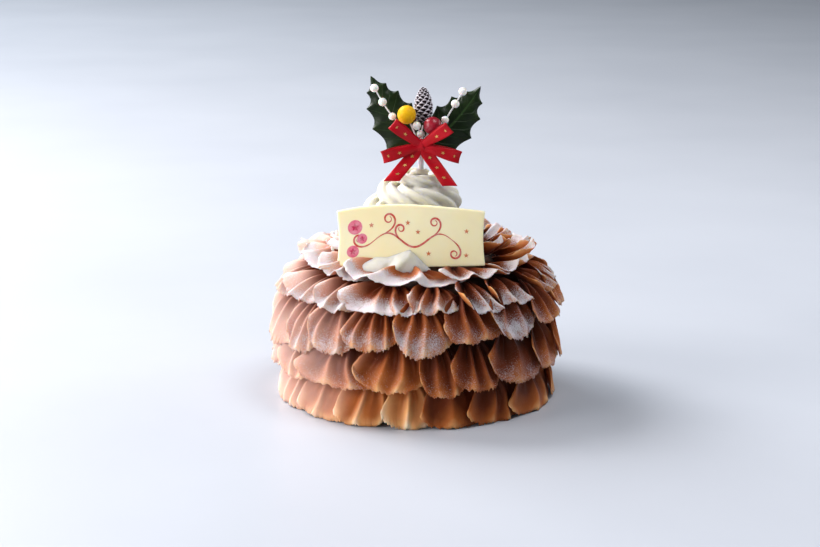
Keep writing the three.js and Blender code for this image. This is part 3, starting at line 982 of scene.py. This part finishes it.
def film(name, outlines, finish, lift=FILM["lift"]):
    """A thin print: each outline is a closed loop of points on the plaque, filled and given an edge."""
    work = bmesh.new()
    for outline in outlines:
        top = [work.verts.new(on_plaque(x, z, lift)) for x, z in outline]
        foot = [work.verts.new(on_plaque(x, z, -FILM["sunk"])) for x, z in outline]
        work.faces.new(top)
        for k in range(len(top)):
            work.faces.new((top[k - 1], top[k], foot[k], foot[k - 1]))
    bmesh.ops.triangulate(work, faces=[face for face in work.faces if len(face.verts) > 4])
    bmesh.ops.recalc_face_normals(work, faces=work.faces)
    printed = link(name, mesh_of(name, work))
    coat(printed, finish)
    place(printed, "white_chocolate")


def strips(path):
    """A pen stroke, fine at its ends, cut into short four-sided strips so that it bends with the plaque."""
    path = np.array(path)
    tangent = np.gradient(path, axis=0)
    tangent /= np.linalg.norm(tangent, axis=1, keepdims=True)
    aside = np.stack([-tangent[:, 1], tangent[:, 0]], axis=1)
    swell = np.sin(np.linspace(0, np.pi, len(path)))[:, None]
    half = (VINE["narrowest"] + (VINE["widest"] - VINE["narrowest"]) * swell) / 2
    left = path + aside * half
    right = path - aside * half
    return [(left[k], left[k + 1], right[k + 1], right[k]) for k in range(len(path) - 1)]


def vine_height(x):
    return VINE["height"] + VINE["swing"] * math.sin((x - VINE["start"]) / VINE["half_wave"] * math.pi)


def shoot(x, backwards, length, turns, nudge=0.1):
    """Points of a shoot that leaves the vine along it and winds tighter and tighter into an eye."""
    heading = math.atan2(vine_height(x + nudge) - vine_height(x - nudge), 2 * nudge)
    if backwards:
        heading += math.pi
    step = length / SHOOT_POINTS
    points = [(x, vine_height(x))]
    for k in range(1, SHOOT_POINTS + 1):
        tightening = (SHOOT_WINDING + 1) * (k / SHOOT_POINTS) ** SHOOT_WINDING
        heading += turns * math.tau / SHOOT_POINTS * tightening
        x, z = points[-1]
        points.append((x + step * math.cos(heading), z + step * math.sin(heading)))
    return points


def points_round(centre, radii, count, turn=0.0):
    """Corners set evenly round a centre, at each of the radii by turns."""
    corners = []
    for k in range(count):
        radius = radii[k % len(radii)]
        angle = turn + math.tau * k / count
        corners.append((centre[0] + radius * math.cos(angle), centre[1] + radius * math.sin(angle)))
    return corners


def star(centre, radius, inner=0.42, turn=math.pi / 2):
    """A star of five points, inner being the share of its radius between them."""
    return points_round(centre, (radius, radius * inner), 10, turn)


def print_finish(name, colour):
    """Edible colour with a wash of paler patches."""
    material, tree, shader = new_finish(name, Roughness=0.5, Specular_IOR_Level=0.3)
    wash = noise(tree, object_point(tree), scale=500.0, detail=3.0)
    pale = tuple(c + (0.8 - c) * 0.28 for c in colour)
    paint(tree, shader, wash, (0.35, colour), (0.75, pale))
    return material


vine = [(x, vine_height(x)) for x in np.linspace(VINE["start"], VINE["end"], VINE["points"])]
scrolls = [strip for path in (vine, *(shoot(*values) for values in SHOOTS)) for strip in strips(path)]
film("plaque_vine", scrolls, print_finish("Vine red", (0.58, 0.045, 0.02)))
film(
    "plaque_stars",
    [star(centre, STAR_RADIUS) for centre in STARS],
    print_finish("Star orange", (0.62, 0.16, 0.035)),
)
film(
    "plaque_discs",
    [points_round(centre, (radius,), DISC_CORNERS) for centre, radius in DISCS],
    print_finish("Disc pink", (0.72, 0.13, 0.22)),
)
film(
    "plaque_disc_stars",
    [star(centre, radius * DISC_STAR, inner=0.5) for centre, radius in DISCS],
    print_finish("Star crimson", (0.5, 0.01, 0.07)),
    FILM["upper_lift"],
)


# Dab of cream
# A spoonful of the same cream pressed in front of the plaque to hold its foot, smeared to the left
# in soft folds and drawn up to a low crest.

DAB = dict(left=-31, right=7, foot=70.5, depth=6.5, embed=0.8, columns=80, rows=24)
DAB_CREST = [
    (-31, 71.5), (-27, 75.2), (-20, 77.2), (-14, 77.2), (-8, 79.2), (-3.4, 80.6), (0, 78), (3, 75), (7, 71),
]

# A hollow and a swell that slant across the dab's face
DAB_FOLDS = [
    dict(x=-13, z=75, slant=0.5, width=1.8, swell=-0.25),
    dict(x=-6, z=78, slant=0.9, width=3, swell=0.3),
]


def dab_point(u, v, side):
    """A point of the dab: u along it, v from its top down to its front foot, on its face or on the plaque."""
    x = DAB["left"] + (DAB["right"] - DAB["left"]) * u
    crest = np.interp(x, *zip(*DAB_CREST))
    z = DAB["foot"] + (crest - DAB["foot"]) * math.cos(v * math.pi / 2) ** 0.8
    back = on_plaque(x - PLAQUE["centre_x"], z - PLAQUE["foot"][1], -DAB["embed"])
    if side < 0:
        return back
    swell = math.sin(math.pi * u) ** 0.5
    for fold in DAB_FOLDS:
        off = (x - fold["x"] - (z - fold["z"]) * fold["slant"]) / fold["width"]
        swell *= 1 + fold["swell"] * math.exp(-(off ** 2))
    return back - Vector((0, DAB["depth"] * swell * math.sin(v * math.pi / 2), 0)) * MM


dab = link("cream_smear", slab("cream_dab", DAB["columns"], DAB["rows"], dab_point))
settled(dab, grain=0.4 * MM, rounds=16)
coat(dab, whipped_cream)
place(dab, "cream", "cream_dab")


# Pick stem and wires
# A white plastic rod pushed down into the cream. A thicker binding at its top holds the lacquered
# wires of the balls, the cone and the beads.

stem_plastic, tree, shader = new_finish(
    "Milky plastic",
    Roughness=0.28,
    Subsurface_Weight=0.5,
    Subsurface_Scale=1.0 * MM,
    IOR=1.46,
)
haze = noise(tree, object_point(tree), scale=350.0)
paint(tree, shader, haze, (0.3, (0.78, 0.79, 0.82)), (0.7, (0.88, 0.88, 0.9)))
bump(tree, shader, haze, depth=0.05 * MM)
coat(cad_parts["pick_stem"], stem_plastic)

wire_white, tree, shader = new_finish("Lacquered wire", Roughness=0.35, Specular_IOR_Level=0.5)
scuff = noise(tree, object_point(tree), scale=1500.0)
paint(tree, shader, scuff, (0.3, (0.66, 0.66, 0.68)), (0.7, (0.84, 0.84, 0.84)))
bump(tree, shader, scuff, depth=0.03 * MM)
for name in ("yellow_ball_wire", "red_ball_wire", "pine_cone_wire"):
    coat(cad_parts[name], wire_white)
for side in ("left", "right", "centre"):
    coat(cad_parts[f"spray_wire_{side}"], wire_white)


# Holly leaves
# Stiff satin leaves, dark green with a paler midrib, their margins drawn out into spines with hollow
# curves between. Each is fixed to the binding by its foot.

LEAF = dict(
    thickness=0.45,
    hollow=2.0,  # how far the margin curves in between two spines
    swept=0.03,  # how far a spine points forward, as a share of the leaf's length
    cup=1.4,  # how far the margins bend back
    wave=0.9,  # how far they wave to and fro
    stalk=0.8,  # half width at the foot
    point=0.12,  # and at the tip
    neck=0.12,  # share of the length over which the blade opens from the foot
    groove=0.35,  # depth of the groove along the midrib
    groove_width=0.7,
    columns=96,
    rows=20,
)

# Each spine's share of the way up the leaf, and the half width there
LEAF_SPINES = [(-0.05, 4), (0.2, 12.2), (0.46, 11.9), (0.68, 9.3), (0.84, 5.6), (1.0, 0.1)]

# A leaf's midrib runs from the binding, through a bend, to the tip.
LEAVES = {
    "left": ((0.6, 3.4, 122), (-13.9, 7.2, 138.2), (-22.8, 11, 158)),
    "right": ((3.4, 3.4, 122), (20.5, 7.2, 134.6), (31.8, 11, 152.9)),
}
SIDE_VEINS = 9


def leaf_mesh(name, midrib):
    foot, bend, tip = (Vector(p) for p in midrib)
    length = (tip - foot).length
    shares, widths = zip(*LEAF_SPINES)
    columns, rows = LEAF["columns"], LEAF["rows"]

    def leaf_point(u, v, side):
        across = 2 * v - 1
        along = ((bend - foot) * (1 - u) + (tip - bend) * u).normalized()
        aside = Vector((along.z, 0, -along.x)).normalized()
        front = aside.cross(along)
        spot = foot * (1 - u) ** 2 + bend * 2 * u * (1 - u) + tip * u ** 2
        beat = np.interp(u, shares, range(len(shares)))
        spine = abs(2 * (beat - math.floor(beat)) - 1) ** 2
        full = np.interp(u, shares, widths) * min(1, u / LEAF["neck"]) ** 0.6
        hollow = LEAF["hollow"] * (1 - spine) * min(1, full / 6)
        half = max(LEAF["stalk"] * (1 - u) + LEAF["point"] * u, full - hollow)
        spot += along * LEAF["swept"] * length * spine * abs(across) * math.sin(math.pi * u)
        lift = -LEAF["cup"] * across ** 2 + LEAF["wave"] * (2 * spine - 1) * abs(across) ** 2
        groove = LEAF["groove"] * math.exp(-((across * half / LEAF["groove_width"]) ** 2))
        out = lift - groove + side * LEAF["thickness"] / 2
        return (spot + aside * across * half + front * out) * MM

    made = slab(name, columns, rows, leaf_point)
    uv = made.uv_layers.new(name="UVMap")
    for loop in made.loops:
        column, row = divmod(loop.vertex_index % ((columns + 1) * (rows + 1)), rows + 1)
        uv.data[loop.index].uv = (column / columns, row / rows)
    return made


holly_green, tree, shader = new_finish(
    "Holly green", Specular_IOR_Level=0.15, Coat_Weight=0.05, Coat_Roughness=0.25
)
up_leaf, across_leaf, _ = axes(tree, add_node(tree, "ShaderNodeTexCoord").outputs["UV"])
off_rib = (across_leaf * 2 - 1).size()
veins = ((up_leaf * SIDE_VEINS - off_rib * 1.6 - 0.5) * math.pi).sin().size()
vein = 1 - smooth_step(tree, veins, 0.0, 0.28)
rib = 1 - smooth_step(tree, off_rib, 0.02, 0.09)
patch = noise(tree, object_point(tree), scale=160.0, detail=4.0)
blade = ramp(
    tree, patch, [(0.28, (0.004, 0.009, 0.003)), (0.55, (0.009, 0.022, 0.005)), (0.8, (0.022, 0.04, 0.009))]
)
veined = blend(tree, (rib + vein * 0.35).held(), blade, (0.03, 0.066, 0.018))
feed(tree, shader.inputs["Base Color"], veined)
feed(tree, shader.inputs["Roughness"], patch * 0.25 + 0.3)
bump(tree, shader, patch * 0.5 - vein * 0.4, depth=0.4 * MM)
for side, midrib in LEAVES.items():
    leaf = link(f"leaf_{side}", leaf_mesh(f"leaf_{side}", midrib))
    coat(leaf, holly_green)
    place(leaf, "holly_green", f"holly_leaf_{side}")


# Pine cone
# A small dried cone: woody scales set round a core in a close spiral, their outer tips frosted white.
# A short wire up from the binding carries it.

CONE = {
    "Scales": 96.0,
    "Foot": 135.4 * MM,
    "Top": 153.8 * MM,
    "Radius": 4.9 * MM,
    "Place X": 3.3 * MM,
    "Place Y": 2.4 * MM,
}
GOLDEN_ANGLE = math.radians(137.508)


def cone_scale_mesh():
    """One scale lying along +X from the core to its tip: a thin curved shield with a thick lip."""

    def scale_point(u, v, side):
        across = 2 * v - 1
        half = 0.03 + 0.56 * (0.35 + 0.65 * u) * (1 - u ** 8) ** 0.5
        droop = 0.3 * u ** 2 - 0.22 * across ** 2 * u
        lip = 0.1 + 0.16 * math.exp(-(((u - 0.9) / 0.14) ** 2))
        return Vector((u, across * half, droop + side * lip / 2 * (1 - across ** 2 * 0.6)))

    made = slab("cone_scale", 6, 4, scale_point)
    tips = [max(0.0, vert.co.x) for vert in made.vertices]
    made.attributes.new("tip", "FLOAT", "POINT").data.foreach_set("value", tips)
    return made


def cone_tree():
    tree, given, size = start_tree("Pine cone", CONE)
    line = add_node(tree, "GeometryNodeMeshLine", {"Count": size["Scales"]})
    index = Value(tree, tree.nodes.new("GeometryNodeInputIndex").outputs[0])
    share = index / size["Scales"]
    turn = index * GOLDEN_ANGLE
    egg = ((share ** 0.8 * 0.82 + 0.13) * math.pi).sin() ** 0.7
    core = egg * size["Radius"] * 0.3
    rise = size["Foot"] + (size["Top"] - size["Foot"]) * (share * 0.93 + 0.02)
    spot = vector(tree, size["Place X"] + core * turn.cos(), size["Place Y"] + core * turn.sin(), rise)
    reach = egg * size["Radius"] * 0.78
    scales = add_node(
        tree,
        "GeometryNodeInstanceOnPoints",
        {
            "Points": moved(tree, line.outputs[0], spot),
            "Instance": given["Geometry"],
            "Rotation": vector(tree, 0.0, share * -0.55 - 0.2, turn),
            "Scale": vector(tree, reach, reach * 0.95, reach * 0.9),
        },
    )
    end_tree(tree, given, scales.outputs[0])
    return tree


frosted_bark, tree, shader = new_finish("Frosted bark", Roughness=0.75, Specular_IOR_Level=0.25)
rough = noise(tree, object_point(tree), scale=900.0, detail=4.0)
bark = ramp(tree, rough, [(0.3, (0.03, 0.018, 0.022)), (0.75, (0.1, 0.066, 0.072))])
frost = smooth_step(tree, carried(tree, "tip") + (rough - 0.5) * 0.35, 0.66, 1.0) * 0.9
feed(tree, shader.inputs["Base Color"], blend(tree, frost, bark, (0.7, 0.66, 0.73)))
bump(tree, shader, rough, depth=0.2 * MM)
cone = grow("cone_scales", cone_scale_mesh(), cone_tree(), CONE, frosted_bark)
place(cone, "cone_bark", "pine_cone")


# Balls
# Light balls, one in yellow satin and one in glossy wine red, each glued on the end of its wire, where
# the lacquer closes round it in a small dimple.

BALLS = {
    "yellow": ((-4.9, -3, 140.8), 4.6),
    "red": ((7.8, -3.7, 135.4), 4.5),
}
BALL_COLUMNS = 48
BALL_RINGS = 32
DIMPLE = 0.16
DIMPLE_WIDTH = 0.13
BINDING_TOP = Vector((2, 0, 128.3))


def ball_mesh(name, centre, radius):
    """A ball whose foot, towards the binding, is drawn in to the dimple of its wire."""
    work = bmesh.new()
    centre = Vector(centre)
    down = (BINDING_TOP - centre).normalized()
    turned = Vector((0, 0, -1)).rotation_difference(down)
    rings = []
    for j in range(1, BALL_RINGS):
        tilt = math.pi * j / BALL_RINGS
        dimple = DIMPLE * math.exp(-(((math.pi - tilt) / DIMPLE_WIDTH) ** 2))
        up = math.cos(tilt) * (1 - dimple)
        corners = points_round((0, 0), (math.sin(tilt),), BALL_COLUMNS)
        spots = [centre + turned @ Vector((x, y, up)) * radius for x, y in corners]
        rings.append([work.verts.new(spot * MM) for spot in spots])
    top = work.verts.new((centre - down * radius) * MM)
    foot = work.verts.new((centre + down * radius * (1 - DIMPLE)) * MM)
    for i in range(BALL_COLUMNS):
        work.faces.new((top, rings[0][i - 1], rings[0][i]))
        work.faces.new((foot, rings[-1][i], rings[-1][i - 1]))
        for upper, lower in zip(rings, rings[1:]):
            work.faces.new((upper[i - 1], lower[i - 1], lower[i], upper[i]))
    bmesh.ops.recalc_face_normals(work, faces=work.faces)
    return mesh_of(name, work, smooth=True)


yellow_satin, tree, shader = new_finish(
    "Yellow satin", Specular_IOR_Level=0.14, Subsurface_Weight=0.15, Subsurface_Scale=1.0 * MM
)
dust = noise(tree, object_point(tree), scale=700.0, detail=3.0)
paint(tree, shader, dust, (0.3, (0.78, 0.41, 0.004)), (0.7, (0.86, 0.5, 0.008)))
feed(tree, shader.inputs["Roughness"], dust * 0.15 + 0.38)
bump(tree, shader, dust, depth=0.04 * MM)

wine_gloss, tree, shader = new_finish(
    "Wine red gloss", Specular_IOR_Level=0.35, Coat_Weight=0.2, Coat_Roughness=0.24
)
dust = noise(tree, object_point(tree), scale=400.0, detail=3.0)
paint(tree, shader, dust, (0.3, (0.24, 0.003, 0.014)), (0.7, (0.36, 0.006, 0.025)))
feed(tree, shader.inputs["Roughness"], dust * 0.1 + 0.3)

for hue, slot, finish in (("yellow", "yellow_satin", yellow_satin), ("red", "red_gloss", wine_gloss)):
    ball = link(f"{hue}_bauble", ball_mesh(f"{hue}_bauble", *BALLS[hue]))
    coat(ball, finish)
    place(ball, slot, f"{hue}_ball")


# Beads
# Pearl beads threaded on the white wires, each with a small drilled hole at both ends. The beads
# of a spray get smaller towards the binding.

BEADS = {
    "left": [(-20.8, 3, 153.1, 2.1), (-16.8, 2.4, 146.3, 2.1), (-12, 1.6, 139.3, 1.9)],
    "right": [(22.7, 3, 151.4, 2.1), (19, 2.4, 145.4, 2.1), (14, 1.8, 137.5, 1.9)],
    "centre": [(0, -4.6, 135.6, 2.1), (2, -2.6, 131.2, 2)],
}
BEAD_COLUMNS = 28
BEAD_RINGS = 18
BEAD_BORE = 0.2


def bead_mesh():
    """A bead of radius 1 on the Z axis with a hole through it."""
    work = bmesh.new()
    start = math.asin(BEAD_BORE)
    tilts = [start + (math.pi - 2 * start) * j / BEAD_RINGS for j in range(BEAD_RINGS + 1)]
    inside = BEAD_BORE * 0.8
    outline = [(inside, 0.9), *((math.sin(tilt), math.cos(tilt)) for tilt in tilts), (inside, -0.9)]
    rings = [
        [work.verts.new((x, y, height)) for x, y in points_round((0, 0), (radius,), BEAD_COLUMNS)]
        for radius, height in outline
    ]
    for upper, lower in zip(rings, rings[1:] + rings[:1]):
        for i in range(BEAD_COLUMNS):
            work.faces.new((upper[i - 1], lower[i - 1], lower[i], upper[i]))
    bmesh.ops.recalc_face_normals(work, faces=work.faces)
    return mesh_of("bead", work)


def bead_tree(sizes):
    tree, given, _ = start_tree("Threaded beads", sizes, "NodeSocketObject")
    shape = add_node(tree, "GeometryNodeObjectInfo", {"Object": given["Bead"]})
    wire = vector(tree, *(named(tree, f"wire_{axis}") for axis in "xyz"))
    turned = add_node(tree, "FunctionNodeAlignRotationToVector", {"Vector": wire}, axis="Z")
    radius = named(tree, "radius")
    beads = add_node(
        tree,
        "GeometryNodeInstanceOnPoints",
        {
            "Points": given["Geometry"],
            "Instance": shape.outputs["Geometry"],
            "Rotation": turned.outputs[0],
            "Scale": vector(tree, radius, radius, radius),
        },
    )
    end_tree(tree, given, beads.outputs[0])
    return tree


def bead_points():
    """A bare point for each bead, with its radius and the direction of its wire."""
    spots, radii, wires = [], [], []
    for beads in BEADS.values():
        stops = [Vector(bead[:3]) for bead in beads]
        spots += [stop * MM for stop in stops]
        radii += [bead[3] * MM for bead in beads]
        stops.append(BINDING_TOP)
        wires += [(stops[k + 1] - stops[max(0, k - 1)]).normalized() for k in range(len(beads))]
    directions = {f"wire_{axis}": [wire[k] for wire in wires] for k, axis in enumerate("xyz")}
    return points_mesh("bead_places", spots, radius=radii, **directions)


pearl, tree, shader = new_finish(
    "Pearl",
    Specular_IOR_Level=0.5,
    Subsurface_Weight=0.3,
    Subsurface_Scale=0.6 * MM,
    Coat_Weight=0.4,
    Coat_Roughness=0.15,
)
lustre = noise(tree, object_point(tree), scale=500.0)
paint(tree, shader, lustre, (0.3, (0.84, 0.81, 0.76)), (0.7, (0.92, 0.9, 0.88)))
feed(tree, shader.inputs["Roughness"], lustre * 0.15 + 0.2)

bead_sizes = {"Bead": link("bead_shape", bead_mesh())}
pearls = grow("pearl_beads", bead_points(), bead_tree(bead_sizes), bead_sizes, pearl)
bpy.data.objects.remove(bead_sizes["Bead"])
bead_nodes = [f"bead_{side}_{k}" for side, beads in BEADS.items() for k in range(1, len(beads) + 1)]
place(pearls, "pearl_white", *bead_nodes)


# Ribbon bow
# Red satin ribbon folded into four loops and two slanting tails, drawn tight in a knot and tied to the
# binding. Small gold stars are printed along it.

RIBBON = dict(
    width=6,
    thickness=0.3,
    depth=2.6,  # half the space inside a loop
    root=0.5,  # half that space at the knot
    fullness=0.8,  # below 1 a loop is rounder at its end
    droop=1.3,  # above 1 a tail hangs in a hollow curve
    gather=0.35,  # share of the width that the knot draws in
    gathered=0.14,  # share of an arm's length over which it opens again
    cup=0.5,  # how far the middle bows out of the face
    columns=64,
    rows=8,
)
KNOT = dict(centre=(2.2, -5.2, 125.8), half=(3.2, 2.2, 3.4), crease=0.07)

# Each arm's far end in X and Z, and how far that end stands in front of the knot
LOOPS = [((-16.9, 120.4), 2.4), ((21.4, 120.3), 2.4), ((-11.9, 137.6), 5.4), ((15.9, 136.6), 12)]
TAILS = [((-12.4, 109.4), 6.5), ((16.2, 107.2), 7.5)]
RIBBON_STAR = dict(radius=0.95, lift=0.2, thickness=0.06, turn=0.4)


def loop_course(forward):
    """How far out of the knot and in front of it a loop is, as it goes out and back."""
    def course(t):
        out = math.sin(math.pi * t)
        face = math.cos(math.pi * t) * (RIBBON["root"] + RIBBON["depth"] * math.sqrt(max(0, out)))
        return max(0, out) ** RIBBON["fullness"], forward * out + face
    return course


def tail_course(forward):
    return lambda t: (t, RIBBON["root"] + forward * t ** RIBBON["droop"])


def ribbon_point(arm, t, across, out):
    """A point of an arm: t along it from 0 to 1, across it from -1 to 1, and out of its face in mm."""
    end, course, is_tail = arm
    x, y, z = KNOT["centre"]
    from_knot = t if is_tail else min(t, 1 - t)
    drawn_in = 1 - RIBBON["gather"] * math.exp(-((from_knot / RIBBON["gathered"]) ** 2))
    aside = across * drawn_in * RIBBON["width"] / 2
    out += RIBBON["cup"] * (1 - across ** 2) * math.cos(2.5 * math.pi * t)
    along = np.array([end[0] - x, end[1] - z])
    reach = np.linalg.norm(along)
    along /= reach
    slant = -along[0] / along[1] if is_tail else 0.0

    def on_course(at):
        share, forward = course(min(1, max(0, at)))
        return np.array([share * reach, forward])

    step = on_course(t + 0.004) - on_course(t - 0.004)
    step /= np.linalg.norm(step)
    run, forward = on_course(t) + np.array([-step[1], step[0]]) * out
    run += slant * t * aside
    spot = (x + along[0] * run - along[1] * aside, y - forward, z + along[1] * run + along[0] * aside)
    return Vector(spot) * MM


def arm_mesh(arm):
    def arm_point(u, v, side):
        return ribbon_point(arm, u, 2 * v - 1, side * RIBBON["thickness"] / 2)

    return slab("ribbon_arm", RIBBON["columns"], RIBBON["rows"], arm_point)


def knot_mesh():
    """The wrap of ribbon over the middle of the bow, gathered in soft creases."""
    work = bmesh.new()
    bmesh.ops.create_uvsphere(work, u_segments=48, v_segments=32, radius=1.0)
    for vert in work.verts:
        crease = 1 + KNOT["crease"] * math.sin(7 * vert.co.x + 1.5 * vert.co.z)
        spot = [c + h * crease * d for c, h, d in zip(KNOT["centre"], KNOT["half"], vert.co)]
        vert.co = Vector(spot) * MM
    return mesh_of("knot", work, smooth=True)


def ribbon_stars(arms):
    """Gold stars on the front face of each arm."""
    work = bmesh.new()
    half = RIBBON["width"] / 2
    for arm in arms:
        end, _, is_tail = arm
        stops = (0.3, 0.55, 0.8) if is_tail else (0.16, 0.3)
        reach = math.hypot(end[0] - KNOT["centre"][0], end[1] - KNOT["centre"][2])
        length = reach if is_tail else reach * 2.2
        for k, stop in enumerate(stops):
            edge = [
                work.verts.new(ribbon_point(arm, stop + run / length, aside / half, RIBBON_STAR["lift"]))
                for run, aside in star((0, 0), RIBBON_STAR["radius"], turn=RIBBON_STAR["turn"] * k)
            ]
            lifted = bmesh.ops.extrude_face_region(work, geom=[work.faces.new(edge)])
            for vert in (item for item in lifted["geom"] if isinstance(item, bmesh.types.BMVert)):
                vert.co.y -= RIBBON_STAR["thickness"] * MM
    bmesh.ops.triangulate(work, faces=[face for face in work.faces if len(face.verts) > 4])
    bmesh.ops.recalc_face_normals(work, faces=work.faces)
    return mesh_of("ribbon_stars", work)


red_satin, tree, shader = new_finish(
    "Red satin", Specular_IOR_Level=0.2, Sheen_Weight=0.02, Sheen_Roughness=0.4, Roughness=0.36
)
point = object_point(tree)
fade = noise(tree, point, scale=120.0)
paint(tree, shader, fade, (0.3, (0.37, 0.001, 0.006)), (0.75, (0.52, 0.002, 0.014)))
bump(tree, shader, noise(tree, point, scale=2200.0), depth=0.06 * MM)
arms = [(end, loop_course(forward), False) for end, forward in LOOPS]
arms += [(end, tail_course(forward), True) for end, forward in TAILS]
ribbon = link("satin_bow", joined("bow", [*(arm_mesh(arm) for arm in arms), knot_mesh()]))
coat(ribbon, red_satin)
place(ribbon, "red_ribbon", "ribbon_bow")

gold_print, tree, shader = new_finish("Gold print", Metallic=0.7)
flake = noise(tree, object_point(tree), scale=1800.0)
paint(tree, shader, flake, (0.3, (0.55, 0.27, 0.06)), (0.7, (0.85, 0.56, 0.2)))
feed(tree, shader.inputs["Roughness"], flake * 0.3 + 0.25)
stars = link("ribbon_stars", ribbon_stars(arms))
coat(stars, gold_print)
place(stars, "red_ribbon")


# Floor, light and camera
# A plain pale floor in soft studio light: a bright panel behind on the left, a large one on the left,
# weak ones above, in front and on the right, and a wash over the floor behind.

FLOOR_HALF = 6
CAMERA = dict(spot=(-0.0033, -0.945, 0.2801), tilt=76.9, lens=85, sensor=36)

floor_corners = [(x * FLOOR_HALF, y * FLOOR_HALF, 0) for x, y in ((-1, -1), (1, -1), (1, 1), (-1, 1))]
floor_mesh = bpy.data.meshes.new("floor")
floor_mesh.from_pydata(floor_corners, [], [(0, 1, 2, 3)])
floor = link("floor", floor_mesh)
pale_floor, tree, shader = new_finish("Pale floor", Roughness=0.4, Specular_IOR_Level=0.3)
veil = noise(tree, object_point(tree), scale=6.0, detail=4.0)
paint(tree, shader, veil, (0.2, (0.46, 0.49, 0.555)), (0.8, (0.505, 0.535, 0.6)))
coat(floor, pale_floor)


def panel(name, spot, aim, width, watts, colour=(1, 1, 1)):
    lamp = bpy.data.lights.new(name, "AREA")
    lamp.size = width
    lamp.energy = watts
    lamp.color = colour
    made = link(name, lamp)
    made.location = spot
    made.rotation_euler = (Vector(aim) - Vector(spot)).to_track_quat("-Z", "Y").to_euler()


panel("key", spot=(-0.98, 0.56, 1.05), aim=(0, 0, 0.06), width=0.63, watts=25, colour=(1.0, 0.97, 0.95))
panel("left_card", spot=(-1.7, -0.54, 0.65), aim=(0, 0, 0.05), width=1.25, watts=36, colour=(1.0, 0.95, 0.92))
panel("top", spot=(0.4, -0.25, 1.2), aim=(0, 0, 0.05), width=0.6, watts=8.6)
panel("front_fill", spot=(-0.5, -1.5, 0.7), aim=(0, 0, 0.07), width=0.8, watts=2.3)
panel("right_fill", spot=(0.85, 0.35, 0.4), aim=(0, 0, 0.06), width=0.4, watts=1.4)
panel("back_wash", spot=(-1.2, 1.8, 1.3), aim=(0.3, 1.3, 0), width=1.2, watts=44, colour=(0.95, 0.98, 1.0))

world = bpy.data.worlds.new("Studio")
world.use_nodes = True
world.node_tree.nodes["Background"].inputs["Color"].default_value = (0.74, 0.83, 0.95, 1)
world.node_tree.nodes["Background"].inputs["Strength"].default_value = 0.08
bpy.context.scene.world = world

camera_data = bpy.data.cameras.new("camera")
camera_data.lens = CAMERA["lens"]
camera_data.sensor_width = CAMERA["sensor"]
camera = link("camera", camera_data)
camera.location = CAMERA["spot"]
camera.rotation_euler = (math.radians(CAMERA["tilt"]), 0, 0)
bpy.context.scene.camera = camera
bpy.context.scene.view_settings.view_transform = "Standard"
